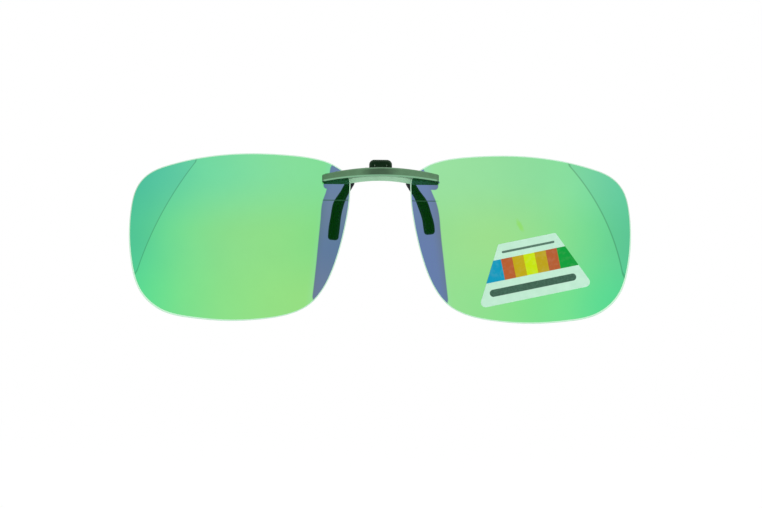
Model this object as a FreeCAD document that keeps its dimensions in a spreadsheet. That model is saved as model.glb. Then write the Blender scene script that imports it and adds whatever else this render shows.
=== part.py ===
import FreeCAD, Part
import math
import os

import Sketcher

# Flip-up clip-on sun lenses: two lenses on a bridge bar, hinged to a sprung clip with four arms.
# Frame: +X to the wearer's left, which is the viewer's right as seen from the front,
# +Y towards the wearer, +Z up. "right" and "left" in names are the viewer's.
# Origin: middle of the lower edge of the clip carrier, the edge that sits on the spectacle bridge.
# All sizes in millimetres, angles in degrees.

doc = FreeCAD.newDocument("clip_on")
sheet = doc.addObject("Spreadsheet::Sheet", "Params")

# Driving dimensions: (alias, value).
SIZES = [
    # lenses: both are cut from one common sphere
    ("lens_radius", 200.0), ("lens_thick", 1.1), ("lens_apex_y", -6.6), ("lens_mid_z", -15.2),
    ("lens_scale_x", 1.0), ("lens_scale_z", 1.0), ("seat_gap", 0.03), ("hole_rad", 0.76),
    # arched bridge bar
    ("bar_half", 15.3), ("bar_front_y", -7.1), ("bar_crown_z", 3.4), ("bar_end_z", 1.45),
    ("lip_mid_z", 1.05), ("lip_end_z", -0.38), ("bar_skew", 0.13), ("bar_core_half", 7.8),
    # formed plate behind the lenses
    ("plate_half", 15.3), ("plate_thick", 0.9), ("plate_crown_z", 3.2), ("plate_end_z", 1.25),
    ("plate_low_mid_z", -0.12), ("plate_low_end_z", -1.1), ("plate_flat_x", 8.8),
    ("bevel_y", -4.2), ("bevel_tall", 1.45), ("bevel_deep", 0.64),
    # lens screws
    ("screw_in_x", 11.4), ("screw_in_z", 1.45), ("screw_out_x", 14.0), ("screw_out_z", 0.96),
    ("screw_rad", 0.5), ("screw_head_rad", 0.85), ("screw_head_high", 0.35),
    # flip hinge
    ("flip_y", -2.5), ("flip_z", 2.3), ("flip_rad", 0.5),
    ("barrel_rad", 1.1), ("barrel_flat", 0.95), ("barrel_half", 2.9),
    ("ear_rad", 1.05), ("ear_in_x", 3.2), ("ear_thick", 0.8), ("run_gap", 0.03),
    # clip carrier and lever
    ("sheet_thick", 0.8), ("carrier_half", 5.6), ("carrier_top_z", 3.1),
    ("jaw_y", 1.4), ("jaw_z", 1.6), ("jaw_rad", 0.45), ("jaw_ear_rad", 0.9),
    ("carrier_ear_x", 4.8), ("lever_ear_x", 3.8),
    ("lever_y", 2.8), ("lever_tongue_half", 2.3), ("lever_top_z", 4.9),
    # arms and rubber sleeves
    ("arm_wide", 1.3), ("sleeve_wide", 2.87), ("rear_sleeve_wide", 2.6), ("sleeve_thick", 2.6),
    ("arm_start_x", 7.67), ("arm_start_z", -0.2),
    ("left_knee_x", 10.9), ("left_knee_z", -5.85),
    ("left_bow_x", 11.75), ("left_bow_z", -10.0),
    ("left_tip_x", 12.35), ("left_tip_z", -15.8),
    ("right_knee_x", 11.25), ("right_knee_z", -6.2),
    ("right_bow_x", 12.6), ("right_bow_z", -10.4),
    ("right_tip_x", 13.1), ("right_tip_z", -14.12),
    ("rear_tip_up", 0.7),
    # thumb tab cover
    ("tab_half", 3.02), ("tab_top_z", 5.4), ("tab_low_z", 3.2),
    ("tab_front_y", 1.55), ("tab_back_y", 4.05),
    # torsion spring
    ("coil_rad", 0.72), ("wire_rad", 0.16), ("coil_pitch", 0.36), ("coil_turns", 8.0),
    # detent leaf
    ("leaf_thick", 0.2), ("leaf_half", 2.5),
    # peel-off label
    ("label_low_wide", 30.9), ("label_top_wide", 15.45), ("label_high", 15.56),
    ("label_x", 39.95), ("label_z", -22.59), ("label_turn", 12.0),
    ("label_lean", 0.6), ("label_thick", 0.09),
]


class Size:
    """A size with its value and the spreadsheet expression that gives it."""

    def __init__(self, value, expr):
        self.value, self.expr = float(value), expr
        self.driven = "Params." in expr

    @staticmethod
    def of(number):
        return number if isinstance(number, Size) else Size(number, repr(float(number)))

    def join(self, sign, other, value):
        return Size(value, "(%s %s %s)" % (self.expr, sign, other.expr))

    def __add__(self, other):
        other = Size.of(other)
        return self.join("+", other, self.value + other.value)

    def __radd__(self, other):
        return Size.of(other) + self

    def __sub__(self, other):
        other = Size.of(other)
        return self.join("-", other, self.value - other.value)

    def __mul__(self, other):
        other = Size.of(other)
        return self.join("*", other, self.value * other.value)

    def __rmul__(self, other):
        return Size.of(other) * self

    def __truediv__(self, other):
        other = Size.of(other)
        return self.join("/", other, self.value / other.value)

    def __neg__(self):
        return Size(-self.value, "(0 - %s)" % self.expr)


class Table:
    """Holds one attribute for each alias."""


for row, (alias, value) in enumerate(SIZES, start=1):
    sheet.set("A%d" % row, alias)
    sheet.set("B%d" % row, repr(value))
    sheet.setAlias("B%d" % row, alias)
doc.recompute()

# dim.alias is a Size that objects can be bound to; val.alias is the plain number.
dim, val = Table(), Table()
for alias, value in SIZES:
    number = float(sheet.get(alias))
    setattr(val, alias, number)
    setattr(dim, alias, Size(number, "Params." + alias))

UNTURNED = FreeCAD.Rotation()
FACING_FRONT = FreeCAD.Rotation(FreeCAD.Vector(1, 0, 0), 90)  # sketch up is +Z, normal is -Y
ALONG_Y = FreeCAD.Rotation(FreeCAD.Vector(1, 0, 0), -90)  # turns an upright cylinder to +Y
BACKWARD = (0, 1, 0)

SIDES = (("right", 1), ("left", -1))  # side, sign of X
SCREWS = (  # place on each side, distance from the centre plane, height
    ("in", dim.screw_in_x, dim.screw_in_z),
    ("out", dim.screw_out_x, dim.screw_out_z),
)
THROUGH_Y, THROUGH_LONG = -10.0, 12.0  # drills that pass through lens or plate

seat_radius = dim.lens_radius - dim.lens_thick - dim.seat_gap
plate_back_radius = seat_radius - dim.plate_thick


# ---------------------------------------------------------------- placing and sketching
def bind(obj, prop, size):
    size = Size.of(size)
    if size.driven:
        obj.setExpression(prop, size.expr)
    else:
        setattr(obj, prop, size.value)


def place(obj, x=0.0, y=0.0, z=0.0, rotation=UNTURNED):
    x, y, z = Size.of(x), Size.of(y), Size.of(z)
    obj.Placement = FreeCAD.Placement(FreeCAD.Vector(x.value, y.value, z.value), rotation)
    for axis, size in (("x", x), ("y", y), ("z", z)):
        if size.driven:
            obj.setExpression("Placement.Base." + axis, size.expr)
    return obj


def constrain(sketch, kind, size, *where):
    index = sketch.addConstraint(Sketcher.Constraint(kind, *where, size.value))
    if size.driven:
        sketch.setExpression("Constraints[%d]" % index, size.expr)


def pin_point(sketch, edge, point, x, y):
    """Pins a point to its distances from the sketch origin, or to an axis where one is zero."""
    for kind, size, axis in (("DistanceX", x, -2), ("DistanceY", y, -1)):
        if abs(size.value) < 1e-12:
            sketch.addConstraint(Sketcher.Constraint("PointOnObject", edge, point, axis))
        else:
            constrain(sketch, kind, size, -1, 1, edge, point)


def add_arc(sketch, start, end, bend):
    """Adds an arc and returns its end numbers in the order of travel."""
    radius = abs(bend)
    middle = (start + end) * 0.5
    half = (end - start).Length / 2
    rise = math.sqrt(max(radius * radius - half * half, 0))
    travel = (end - start).normalize()
    left = FreeCAD.Vector(-travel.y, travel.x, 0)
    if bend > 0:
        centre, first, last, ends = middle + left * rise, start, end, (1, 2)
    else:
        centre, first, last, ends = middle - left * rise, end, start, (2, 1)
    angle_0 = math.atan2(first.y - centre.y, first.x - centre.x)
    angle_1 = math.atan2(last.y - centre.y, last.x - centre.x)
    if angle_1 < angle_0:
        angle_1 += 2 * math.pi
    circle = Part.Circle(centre, FreeCAD.Vector(0, 0, 1), radius)
    sketch.addGeometry(Part.ArcOfCircle(circle, angle_0, angle_1), False)
    return ends


def fill_sketch(sketch, corners):
    """Closed outline through corners (x, y) or (x, y, bend).

    An edge runs from each corner to the next. It is a line, or with bend an arc of that radius,
    turning left of travel if positive. Every corner is pinned.
    """
    count = len(corners)
    rows = [[Size.of(size) for size in corner] for corner in corners]
    points = [FreeCAD.Vector(x.value, y.value, 0) for x, y, *bend in rows]
    ends = []
    for i, (x, y, *bend) in enumerate(rows):
        start, end = points[i], points[(i + 1) % count]
        if bend:
            ends.append(add_arc(sketch, start, end, bend[0].value))
        else:
            sketch.addGeometry(Part.LineSegment(start, end), False)
            ends.append((1, 2))
    for i in range(count):
        j = (i + 1) % count
        sketch.addConstraint(Sketcher.Constraint("Coincident", i, ends[i][1], j, ends[j][0]))
    for i, (x, y, *bend) in enumerate(rows):
        pin_point(sketch, i, ends[i][0], x, y)
        if bend:
            radius = -bend[0] if bend[0].value < 0 else bend[0]
            constrain(sketch, "Radius", radius, i)
    return sketch


def front_sketch(name, corners, y=0.0):
    """A free sketch in an XZ plane, seen from the front."""
    sketch = doc.addObject("Sketcher::SketchObject", name)
    place(sketch, 0, y, 0, FACING_FRONT)
    return fill_sketch(sketch, corners)


def mirrored(right_half):
    """Closed outline from its right half, listed from the bottom up."""
    left_half = [(-x, z) for x, z in reversed(right_half)]
    return left_half[-1:] + right_half + left_half[:-1]


def arc_radius(half, sag):
    """Radius of an arc of half chord half that rises by sag."""
    return (half * half + sag * sag) / (2 * sag)


# ---------------------------------------------------------------- bodies
def body_sketch(body, name, role, corners=None, offset=0.0):
    """A sketch on an origin plane; the offset is along +X from YZ_Plane, -Y from XZ_Plane."""
    sketch = body.newObject("Sketcher::SketchObject", name)
    plane = [f for f in body.Origin.OriginFeatures if f.Role == role][0]
    sketch.AttachmentSupport = [(plane, "")]
    sketch.MapMode = "FlatFace"
    offset = Size.of(offset)
    sketch.AttachmentOffset = FreeCAD.Placement(FreeCAD.Vector(0, 0, offset.value), UNTURNED)
    if offset.driven:
        sketch.setExpression("AttachmentOffset.Base.z", offset.expr)
    if corners:
        fill_sketch(sketch, corners)
    return sketch


def add_pad(body, name, sketch, length, midplane=False):
    pad = body.newObject("PartDesign::Pad", name)
    pad.Profile = sketch
    if midplane:
        pad.Midplane = True
    bind(pad, "Length", length)
    doc.recompute()


def add_bore(body, sketch_name, name, y, z, radius, length):
    """A round hole along X, even about the centre plane."""
    y, z, radius = Size.of(y), Size.of(z), Size.of(radius)
    sketch = body_sketch(body, sketch_name, "YZ_Plane")
    centre = FreeCAD.Vector(y.value, z.value, 0)
    circle = Part.Circle(centre, FreeCAD.Vector(0, 0, 1), radius.value)
    edge = sketch.addGeometry(circle, False)
    pin_point(sketch, edge, 3, y, z)
    constrain(sketch, "Radius", radius, edge)
    bore = body.newObject("PartDesign::Pocket", name)
    bore.Profile = sketch
    bore.Midplane = True
    bore.Length = length
    doc.recompute()


def turned_pin(name, corners, y):
    """A pin along X, turned about the first edge of its half section."""
    body = doc.addObject("PartDesign::Body", name + "_body")
    sketch = body_sketch(body, name + "_section", "XZ_Plane", corners, offset=-y)
    turning = body.newObject("PartDesign::Revolution", name + "_turned")
    turning.Profile = sketch
    turning.ReferenceAxis = (sketch, ["Edge1"])
    turning.Angle = 360.0
    doc.recompute()
    return body


# ---------------------------------------------------------------- solids and booleans
def extrude(name, base, direction, length, back=0.0):
    solid = doc.addObject("Part::Extrusion", name)
    solid.Base = base
    solid.DirMode = "Custom"
    solid.Dir = FreeCAD.Vector(*direction)
    solid.Solid = True
    bind(solid, "LengthFwd", length)
    bind(solid, "LengthRev", back)
    return solid


def sphere(name, radius):
    """A sphere about the common centre of the lens surfaces."""
    ball = doc.addObject("Part::Sphere", name)
    bind(ball, "Radius", radius)
    return place(ball, 0, dim.lens_apex_y + dim.lens_radius, dim.lens_mid_z)


def box(name, x0, x1, y0, y1, z0, z1):
    block = doc.addObject("Part::Box", name)
    bind(block, "Length", Size.of(x1) - x0)
    bind(block, "Width", Size.of(y1) - y0)
    bind(block, "Height", Size.of(z1) - z0)
    return place(block, x0, y0, z0)


def cylinder(name, radius, length, x, y, z, rotation=ALONG_Y):
    rod = doc.addObject("Part::Cylinder", name)
    bind(rod, "Radius", radius)
    bind(rod, "Height", length)
    return place(rod, x, y, z, rotation)


def cut(name, base, tool):
    result = doc.addObject("Part::Cut", name)
    result.Base, result.Tool = base, tool
    return result


def common(name, *shapes):
    result = doc.addObject("Part::MultiCommon", name)
    result.Shapes = list(shapes)
    return result


def fuse(name, *shapes, refine=True):
    result = doc.addObject("Part::MultiFuse", name)
    result.Shapes = list(shapes)
    result.Refine = refine
    return result


def compound(name, shapes):
    result = doc.addObject("Part::Compound", name)
    result.Links = shapes
    return result


def feature(name, shape):
    result = doc.addObject("Part::Feature", name)
    result.Shape = shape
    return result


def outline_face(name, wire, x=0.0, y=0.0, z=0.0, rotation=UNTURNED):
    """A flat face from a wire drawn in the XZ plane."""
    return place(feature(name, Part.Face(wire)), x, y, z, rotation)


def soften(name, base, radius_of):
    """Rounds each edge by radius_of(edge), leaving it sharp where that is None."""
    doc.recompute()
    fillet = doc.addObject("Part::Fillet", name)
    fillet.Base = base
    rounded = []
    for number, edge in enumerate(base.Shape.Edges, start=1):
        radius = radius_of(edge)
        if radius is not None:
            rounded.append((number, radius, radius))
    fillet.Edges = rounded
    doc.recompute()
    # The sharp solid stands in if the rounding gives no valid shape.
    if fillet.Shape.isNull() or not fillet.Shape.isValid():
        return base
    return fillet


pieces = {}


def add_piece(label, obj):
    obj.Label = label
    pieces[label] = obj


# ---------------------------------------------------------------- flat outlines
def rounded_wire(corners):
    """A closed flat outline in the XZ plane through corners (x, z, rounding radius)."""
    count = len(corners)
    edges, last, first = [], None, None
    for i in range(count):
        x, z, radius = corners[i]
        after = corners[(i + 1) % count]
        corner = FreeCAD.Vector(x, 0, z)
        to_last = (FreeCAD.Vector(corners[i - 1][0], 0, corners[i - 1][1]) - corner).normalize()
        to_next = (FreeCAD.Vector(after[0], 0, after[1]) - corner).normalize()
        angle = to_last.getAngle(to_next)
        arc = None
        start = end = corner
        if radius > 1e-9 and angle < math.pi - 1e-6:
            setback = radius / math.tan(angle / 2)
            start, end = corner + to_last * setback, corner + to_next * setback
            inward = (to_last + to_next).normalize()
            centre = corner + inward * (radius / math.sin(angle / 2))
            middle = centre + (corner - centre).normalize() * radius
            arc = Part.Arc(start, middle, end).toShape()
        if last is not None and (start - last).Length > 1e-7:
            edges.append(Part.makeLine(last, start))
        if first is None:
            first = start
        if arc is not None:
            edges.append(arc)
        last = end
    if (first - last).Length > 1e-7:
        edges.append(Part.makeLine(last, first))
    return Part.Wire(edges)


def strip(path, width, bend_radius, tip_radius):
    """Corners of a strip of one width along a path, square at its start."""
    points = [FreeCAD.Vector(x, 0, z) for x, z in path]
    last = len(points) - 1
    one_edge, other_edge = [], []
    for i, point in enumerate(points):
        before = (point - points[i - 1]).normalize() if i else None
        after = (points[i + 1] - point).normalize() if i < last else None
        stretch = 1.0
        if after is None:
            along = before
        elif before is None:
            along = after
        else:
            along = (before + after).normalize()
            stretch = 1.0 / math.cos(before.getAngle(after) / 2)
        across = FreeCAD.Vector(-along.z, 0, along.x)
        one_edge.append(point + across * (width / 2 * stretch))
        other_edge.append(point - across * (width / 2 * stretch))
    radii = [0.0] + [bend_radius] * (last - 1) + [tip_radius]
    corners = [(p.x, p.z, radius) for p, radius in zip(one_edge, radii)]
    return corners + [(p.x, p.z, radius) for p, radius in zip(other_edge, radii)][::-1]


# ---------------------------------------------------------------- lenses
# Outline of the right lens: distance from the centre plane, height before the shift that
# brings OUTLINE_MID_Z to lens_mid_z.
OUTLINE = [
    (12.60, 2.68), (16.58, 4.02), (20.60, 4.70), (24.70, 5.08), (31.19, 5.39),
    (37.00, 5.33), (42.66, 4.89), (48.60, 4.01), (55.55, 2.32), (61.12, -0.05),
    (64.13, -3.30), (65.78, -8.65), (66.34, -16.27), (65.68, -23.84), (63.31, -31.09),
    (57.20, -36.35), (49.60, -38.05), (42.96, -38.62), (37.00, -38.65), (31.16, -38.20),
    (24.85, -37.12), (18.33, -34.17), (14.19, -29.11), (11.44, -22.60), (9.68, -16.27),
    (8.60, -10.90), (8.03, -6.60), (7.88, -3.60), (8.06, -1.10), (8.85, 0.25), (10.50, 1.45),
]
OUTLINE_MID_X, OUTLINE_MID_Z = 36.7, -16.6  # point the outline is scaled about
LENS_BLANK_Y, LENS_BLANK_LONG = -12, 30.0


def lens_outline(sign):
    points = []
    for x, z in OUTLINE:
        across = OUTLINE_MID_X + (x - OUTLINE_MID_X) * val.lens_scale_x
        rise = (z - OUTLINE_MID_Z) * val.lens_scale_z
        points.append(FreeCAD.Vector(sign * across, 0, val.lens_mid_z + rise))
    curve = Part.BSplineCurve()
    curve.interpolate(Points=points, PeriodicFlag=True)
    return Part.Wire([curve.toShape()])


def add_lens(side, sign):
    face = outline_face(side + "_outline", lens_outline(sign), y=LENS_BLANK_Y)
    prism = extrude(side + "_blank", face, BACKWARD, LENS_BLANK_LONG)
    outer = sphere(side + "_front_sphere", dim.lens_radius)
    inner = sphere(side + "_back_sphere", dim.lens_radius - dim.lens_thick)
    slab = cut(side + "_slab", common(side + "_dome", prism, outer), inner)
    drills = [
        cylinder("%s_hole_%s" % (side, tag), dim.hole_rad, THROUGH_LONG, sign * x, THROUGH_Y, z)
        for tag, x, z in SCREWS
    ]
    holes = fuse(side + "_lens_holes", *drills, refine=False)
    add_piece(side + "_lens", cut(side + "_lens_cut", slab, holes))


for side, sign in SIDES:
    add_lens(side, sign)

# ---------------------------------------------------------------- bridge bar
BAR_BLANK_MARGIN = 2.0  # the blank runs past y = 0 and past the bar's front by this
BAR_ROUND_LOW_Z, BAR_ROUND_HIGH = -6.0, 20.0
POCKET_END = 1  # the pocket boxes run past the bar's ends by this
POCKET_Y, POCKET_Z = (-12.0, 0.0), (-4.0, 6.0)
BAR_TOP_ROUND = 0.38
BAR_LIP_ROUND = 0.2
BAR_END_ROUND = 0.3
BAR_CORNER_ROUND = 0.42
THREAD_START, THREAD_LONG = 0.45, 4.0  # depth of the blind end behind the bar's front


def bar_face_y(x):
    """Front of the bar at a distance x from the centre plane."""
    return dim.bar_front_y + (x * x) / (2 * dim.lens_radius)


def bar_edge_radius(edge):
    bounds = edge.BoundBox
    in_front = bounds.YMax < val.bar_front_y + 0.75
    if in_front and bounds.XLength > 20:
        return BAR_TOP_ROUND if bounds.ZMax > 2.5 else BAR_LIP_ROUND
    if in_front and bounds.ZLength > 1.0 and bounds.XLength < 0.2:
        return BAR_END_ROUND
    runs_back = bounds.YLength > 0.9 and bounds.XLength < 0.2 and bounds.ZLength < 0.2
    if runs_back and min(abs(bounds.XMin), abs(bounds.XMax)) > 15.0:
        return BAR_CORNER_ROUND
    return None


bar_top_radius = arc_radius(dim.bar_half, dim.bar_crown_z - dim.bar_end_z)
bar_lip_radius = arc_radius(dim.bar_half, dim.lip_mid_z - dim.lip_end_z)
bar_profile = front_sketch(
    "bar_profile",
    [
        (-dim.bar_half, dim.lip_end_z - dim.bar_skew, -bar_lip_radius),
        (dim.bar_half, dim.lip_end_z + dim.bar_skew),
        (dim.bar_half, dim.bar_end_z + dim.bar_skew, bar_top_radius),
        (-dim.bar_half, dim.bar_end_z - dim.bar_skew),
    ],
)
bar_blank = extrude(
    "bar_blank", bar_profile, BACKWARD, BAR_BLANK_MARGIN, -dim.bar_front_y + BAR_BLANK_MARGIN
)
bar_round = cylinder(
    "bar_front_round", dim.lens_radius, BAR_ROUND_HIGH,
    0, dim.bar_front_y + dim.lens_radius, BAR_ROUND_LOW_Z, UNTURNED,
)
bar_front = common("bar_front", bar_blank, bar_round)
bar_shell = cut("bar_back_cut", bar_front, sphere("bar_back_sphere", seat_radius))

# Behind each end of the bar the lens lies in a pocket.
pockets = []
for side, x0, x1 in (
    ("right", dim.bar_core_half, dim.bar_half + POCKET_END),
    ("left", -dim.bar_half - POCKET_END, -dim.bar_core_half),
):
    ball = sphere("pocket_sphere_" + side[0], dim.lens_radius + dim.seat_gap)
    block = box("pocket_box_" + side[0], x0, x1, *POCKET_Y, *POCKET_Z)
    pockets.append(common("pocket_" + side, ball, block))
bar_pocketed = cut("bar_pockets", bar_shell, fuse("bar_pocket_tools", *pockets, refine=False))
bar_soft = soften("bar_soft_edges", bar_pocketed, bar_edge_radius)

threads = [
    cylinder(
        "%s_thread_%s" % (side, tag), dim.screw_rad, THREAD_LONG,
        sign * x, bar_face_y(x) + THREAD_START, z,
    )
    for side, sign in SIDES
    for tag, x, z in SCREWS
]
thread_holes = fuse("thread_holes", *threads, refine=False)
add_piece("bridge_bar", cut("bridge_bar_cut", bar_soft, thread_holes))

# ---------------------------------------------------------------- formed rear plate
PLATE_BLANK_LONG = 8.0
BEVEL_HALF, BEVEL_LOW_Z, BEVEL_LONG = 20.0, -9.0, 8.0
SEAT_SINK = 0.09  # depth of a head's seat at its centre
SEAT_PLAY, SEAT_LONG = 0.08, 3.0


def dome_y(radius, x, z):
    """Front of a sphere about the lens centre, at (x, z)."""
    centre_y = val.lens_apex_y + val.lens_radius
    return centre_y - math.sqrt(radius.value ** 2 - x.value ** 2 - (z.value - val.lens_mid_z) ** 2)


def head_seat_y(x, z):
    return dome_y(plate_back_radius, x, z) - SEAT_SINK


plate_top_radius = arc_radius(dim.plate_half, dim.plate_crown_z - dim.plate_end_z)
plate_low_radius = arc_radius(dim.plate_flat_x, dim.plate_low_mid_z - dim.plate_low_end_z)
plate_profile = front_sketch(
    "plate_profile",
    [
        (-dim.plate_half, dim.plate_low_end_z),
        (-dim.plate_flat_x, dim.plate_low_end_z, -plate_low_radius),
        (dim.plate_flat_x, dim.plate_low_end_z),
        (dim.plate_half, dim.plate_low_end_z),
        (dim.plate_half, dim.plate_end_z, plate_top_radius),
        (-dim.plate_half, dim.plate_end_z),
    ],
)
plate_blank = extrude("plate_blank", plate_profile, BACKWARD, 0.0, PLATE_BLANK_LONG)
plate_shell = cut(
    "plate_shell",
    common("plate_dome", plate_blank, sphere("plate_front_sphere", seat_radius)),
    sphere("plate_back_sphere", plate_back_radius),
)
# The lower edge is bevelled: its curve is carried forward and up, and all below is cut away.
bevel_profile = front_sketch(
    "bevel_profile",
    [
        (-BEVEL_HALF, BEVEL_LOW_Z),
        (BEVEL_HALF, BEVEL_LOW_Z),
        (BEVEL_HALF, dim.plate_low_end_z),
        (dim.plate_flat_x, dim.plate_low_end_z, plate_low_radius),
        (-dim.plate_flat_x, dim.plate_low_end_z),
        (-BEVEL_HALF, dim.plate_low_end_z),
    ],
    y=dim.bevel_y,
)
bevel_run = (0, -val.bevel_deep, val.bevel_tall)
plate_bevel = extrude("plate_bevel", bevel_profile, bevel_run, BEVEL_LONG)
plate_bevelled = cut("plate_bevelled", plate_shell, plate_bevel)

plate_tools = []
for side, sign in SIDES:
    for tag, x, z in SCREWS:
        plate_tools.append(
            cylinder(
                "%s_plate_hole_%s" % (side, tag), dim.screw_rad + dim.run_gap, THROUGH_LONG,
                sign * x, THROUGH_Y, z,
            )
        )
        plate_tools.append(
            cylinder(
                "%s_plate_seat_%s" % (side, tag), dim.screw_head_rad + SEAT_PLAY, SEAT_LONG,
                sign * x, head_seat_y(x, z), z,
            )
        )
plate_holes = fuse("plate_tools", *plate_tools, refine=False)
add_piece("rear_plate", cut("rear_plate_cut", plate_bevelled, plate_holes))

# ---------------------------------------------------------------- lens screws and bushes
SCREW_TIP_START = 0.5  # tip of the screw behind the bar's front
SHANK_PLAY = 0.01
SHANK_OVERLAP = 0.05  # extra shank length, so that it enters the head
HEAD_GAP = 0.01
SLOT_HALF_LONG, SLOT_HALF_WIDE, SLOT_DEEP = 1.2, 0.11, 0.17
SLOT_END = 2.0  # slot tool's end, behind the seat
BUSH_PLAY = 0.02  # in the lens hole and around the screw
BUSH_SHORT, BUSH_INSET = 0.14, 0.08
BUSH_BORE_LEAD, BUSH_BORE_LONG = 2.0, 5.0


def lens_screw(name, x, centre_x, z):
    """A slotted screw from the rear; x is its distance from the centre plane."""
    seat = head_seat_y(x, z)
    tip = bar_face_y(x).value + SCREW_TIP_START
    shank_long = seat - tip + SHANK_OVERLAP
    head_y = seat + HEAD_GAP
    shank = cylinder(name + "_shank", dim.screw_rad - SHANK_PLAY, shank_long, centre_x, tip, z)
    head = cylinder(name + "_head", dim.screw_head_rad, dim.screw_head_high, centre_x, head_y, z)
    slot = box(
        name + "_slot",
        centre_x - SLOT_HALF_LONG, centre_x + SLOT_HALF_LONG,
        head_y + dim.screw_head_high - SLOT_DEEP, seat + SLOT_END,
        z - SLOT_HALF_WIDE, z + SLOT_HALF_WIDE,
    )
    return cut(name, fuse(name + "_solid", shank, head), slot)


def lens_bush(name, x, centre_x, z):
    """The ring around a screw, inside the lens hole."""
    front = dome_y(dim.lens_radius, x, z)
    outer = cylinder(
        name + "_out", dim.hole_rad - BUSH_PLAY, dim.lens_thick - BUSH_SHORT,
        centre_x, front + BUSH_INSET, z,
    )
    inner = cylinder(
        name + "_in", dim.screw_rad + BUSH_PLAY, BUSH_BORE_LONG,
        centre_x, front - BUSH_BORE_LEAD, z,
    )
    return cut(name, outer, inner)


for side, sign in SIDES:
    screws, bushes = [], []
    for tag, x, z in SCREWS:
        name = "%s_screw_%s" % (side, tag)
        screws.append(lens_screw(name, x, sign * x, z))
        bushes.append(lens_bush(name + "_bush", x, sign * x, z))
    add_piece(side + "_lens_screws", compound(side + "_lens_screws_group", screws))
    add_piece(side + "_lens_bushes", compound(side + "_lens_bushes_group", bushes))

# ---------------------------------------------------------------- flip barrel with detent flats
WEB_REACH = 2.2  # the web runs this far forward of the pin's axis, past the plate
WEB_DROP = 0.95  # underside of the web's front end, below the pin's axis
FLAT_HALF = 0.554  # where the round meets a flat, from the axis
BARREL_BORE_LONG = 12.0

barrel = doc.addObject("PartDesign::Body", "barrel_body")
web_top = dim.flip_z + dim.barrel_flat
barrel_back = dim.flip_y + dim.barrel_flat
barrel_section = body_sketch(
    barrel,
    "barrel_section",
    "YZ_Plane",
    [
        (dim.flip_y - WEB_REACH, dim.flip_z - WEB_DROP),
        (dim.flip_y, dim.flip_z - dim.barrel_rad, dim.barrel_rad),
        (barrel_back, dim.flip_z - FLAT_HALF),
        (barrel_back, dim.flip_z + FLAT_HALF, dim.barrel_rad),
        (dim.flip_y + FLAT_HALF, web_top),
        (dim.flip_y - WEB_REACH, web_top),
    ],
)
add_pad(barrel, "barrel_pad", barrel_section, dim.barrel_half * 2, midplane=True)
add_bore(
    barrel, "barrel_bore_section", "barrel_bore",
    dim.flip_y, dim.flip_z, dim.flip_rad + dim.run_gap, BARREL_BORE_LONG,
)
# The web's front end follows the back of the plate.
barrel_fit = common("flip_barrel_fit", barrel, sphere("barrel_sphere", plate_back_radius))
add_piece("flip_barrel", barrel_fit)

# ---------------------------------------------------------------- flip pin: a slotted screw pin
PIN_TAIL, PIN_CHAMFER = 0.25, 0.12
PIN_HEAD_GAP, PIN_HEAD_RAD, PIN_HEAD_HIGH = 0.03, 0.95, 0.55
PIN_RIM_RAD, PIN_RIM_X = 0.85, 0.4  # where the head's chamfer ends and starts
PIN_SLOT_START, PIN_SLOT_END = 0.3, 2  # from the underside of the head
PIN_SLOT_HALF_WIDE, PIN_SLOT_HALF_TALL = 0.13, 2

tail_x = -(dim.ear_in_x + dim.ear_thick + PIN_TAIL)
head_x = dim.ear_in_x + dim.ear_thick + PIN_HEAD_GAP
flip_pin = turned_pin(
    "flip_pin",
    [
        (tail_x, dim.flip_z),
        (head_x + PIN_HEAD_HIGH, dim.flip_z),
        (head_x + PIN_HEAD_HIGH, dim.flip_z + PIN_RIM_RAD),
        (head_x + PIN_RIM_X, dim.flip_z + PIN_HEAD_RAD),
        (head_x, dim.flip_z + PIN_HEAD_RAD),
        (head_x, dim.flip_z + dim.flip_rad),
        (tail_x + PIN_CHAMFER, dim.flip_z + dim.flip_rad),
        (tail_x, dim.flip_z + dim.flip_rad - PIN_CHAMFER),
    ],
    dim.flip_y,
)
flip_pin_slot = box(
    "flip_pin_slot",
    head_x + PIN_SLOT_START, head_x + PIN_SLOT_END,
    dim.flip_y - PIN_SLOT_HALF_WIDE, dim.flip_y + PIN_SLOT_HALF_WIDE,
    dim.flip_z - PIN_SLOT_HALF_TALL, dim.flip_z + PIN_SLOT_HALF_TALL,
)
add_piece("flip_pin", cut("flip_pin_slotted", flip_pin, flip_pin_slot))

# ---------------------------------------------------------------- detent leaf and its rivets
RIVET_PLACES = (-1.5, 1.5)
RIVET_Z = 0.32
RIVET_RAD, RIVET_LONG, RIVET_FRONT_Y = 0.18, 1.34, -0.76
RIVET_HEAD_RAD, RIVET_HEAD_HIGH, RIVET_TAIL_Y = 0.28, 0.14, 0.43
RIVET_HOLE_RAD, RIVET_HOLE_LONG = 0.19, 3.0
LEAF_GAP, FOOT_GAP = 0.02, 0.01  # to the barrel's flat and to the carrier
FOOT_LOW_Z, SHELF_Z = 0.08, 0.6
LEAF_LIP_OUT = 0.22  # the top of the leaf leans back by this


def rivet_holes(name, prefix, start_y):
    drills = [
        cylinder("%s_%d" % (prefix, i), RIVET_HOLE_RAD, RIVET_HOLE_LONG, x, start_y, RIVET_Z)
        for i, x in enumerate(RIVET_PLACES)
    ]
    return fuse(name, *drills, refine=False)


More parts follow.
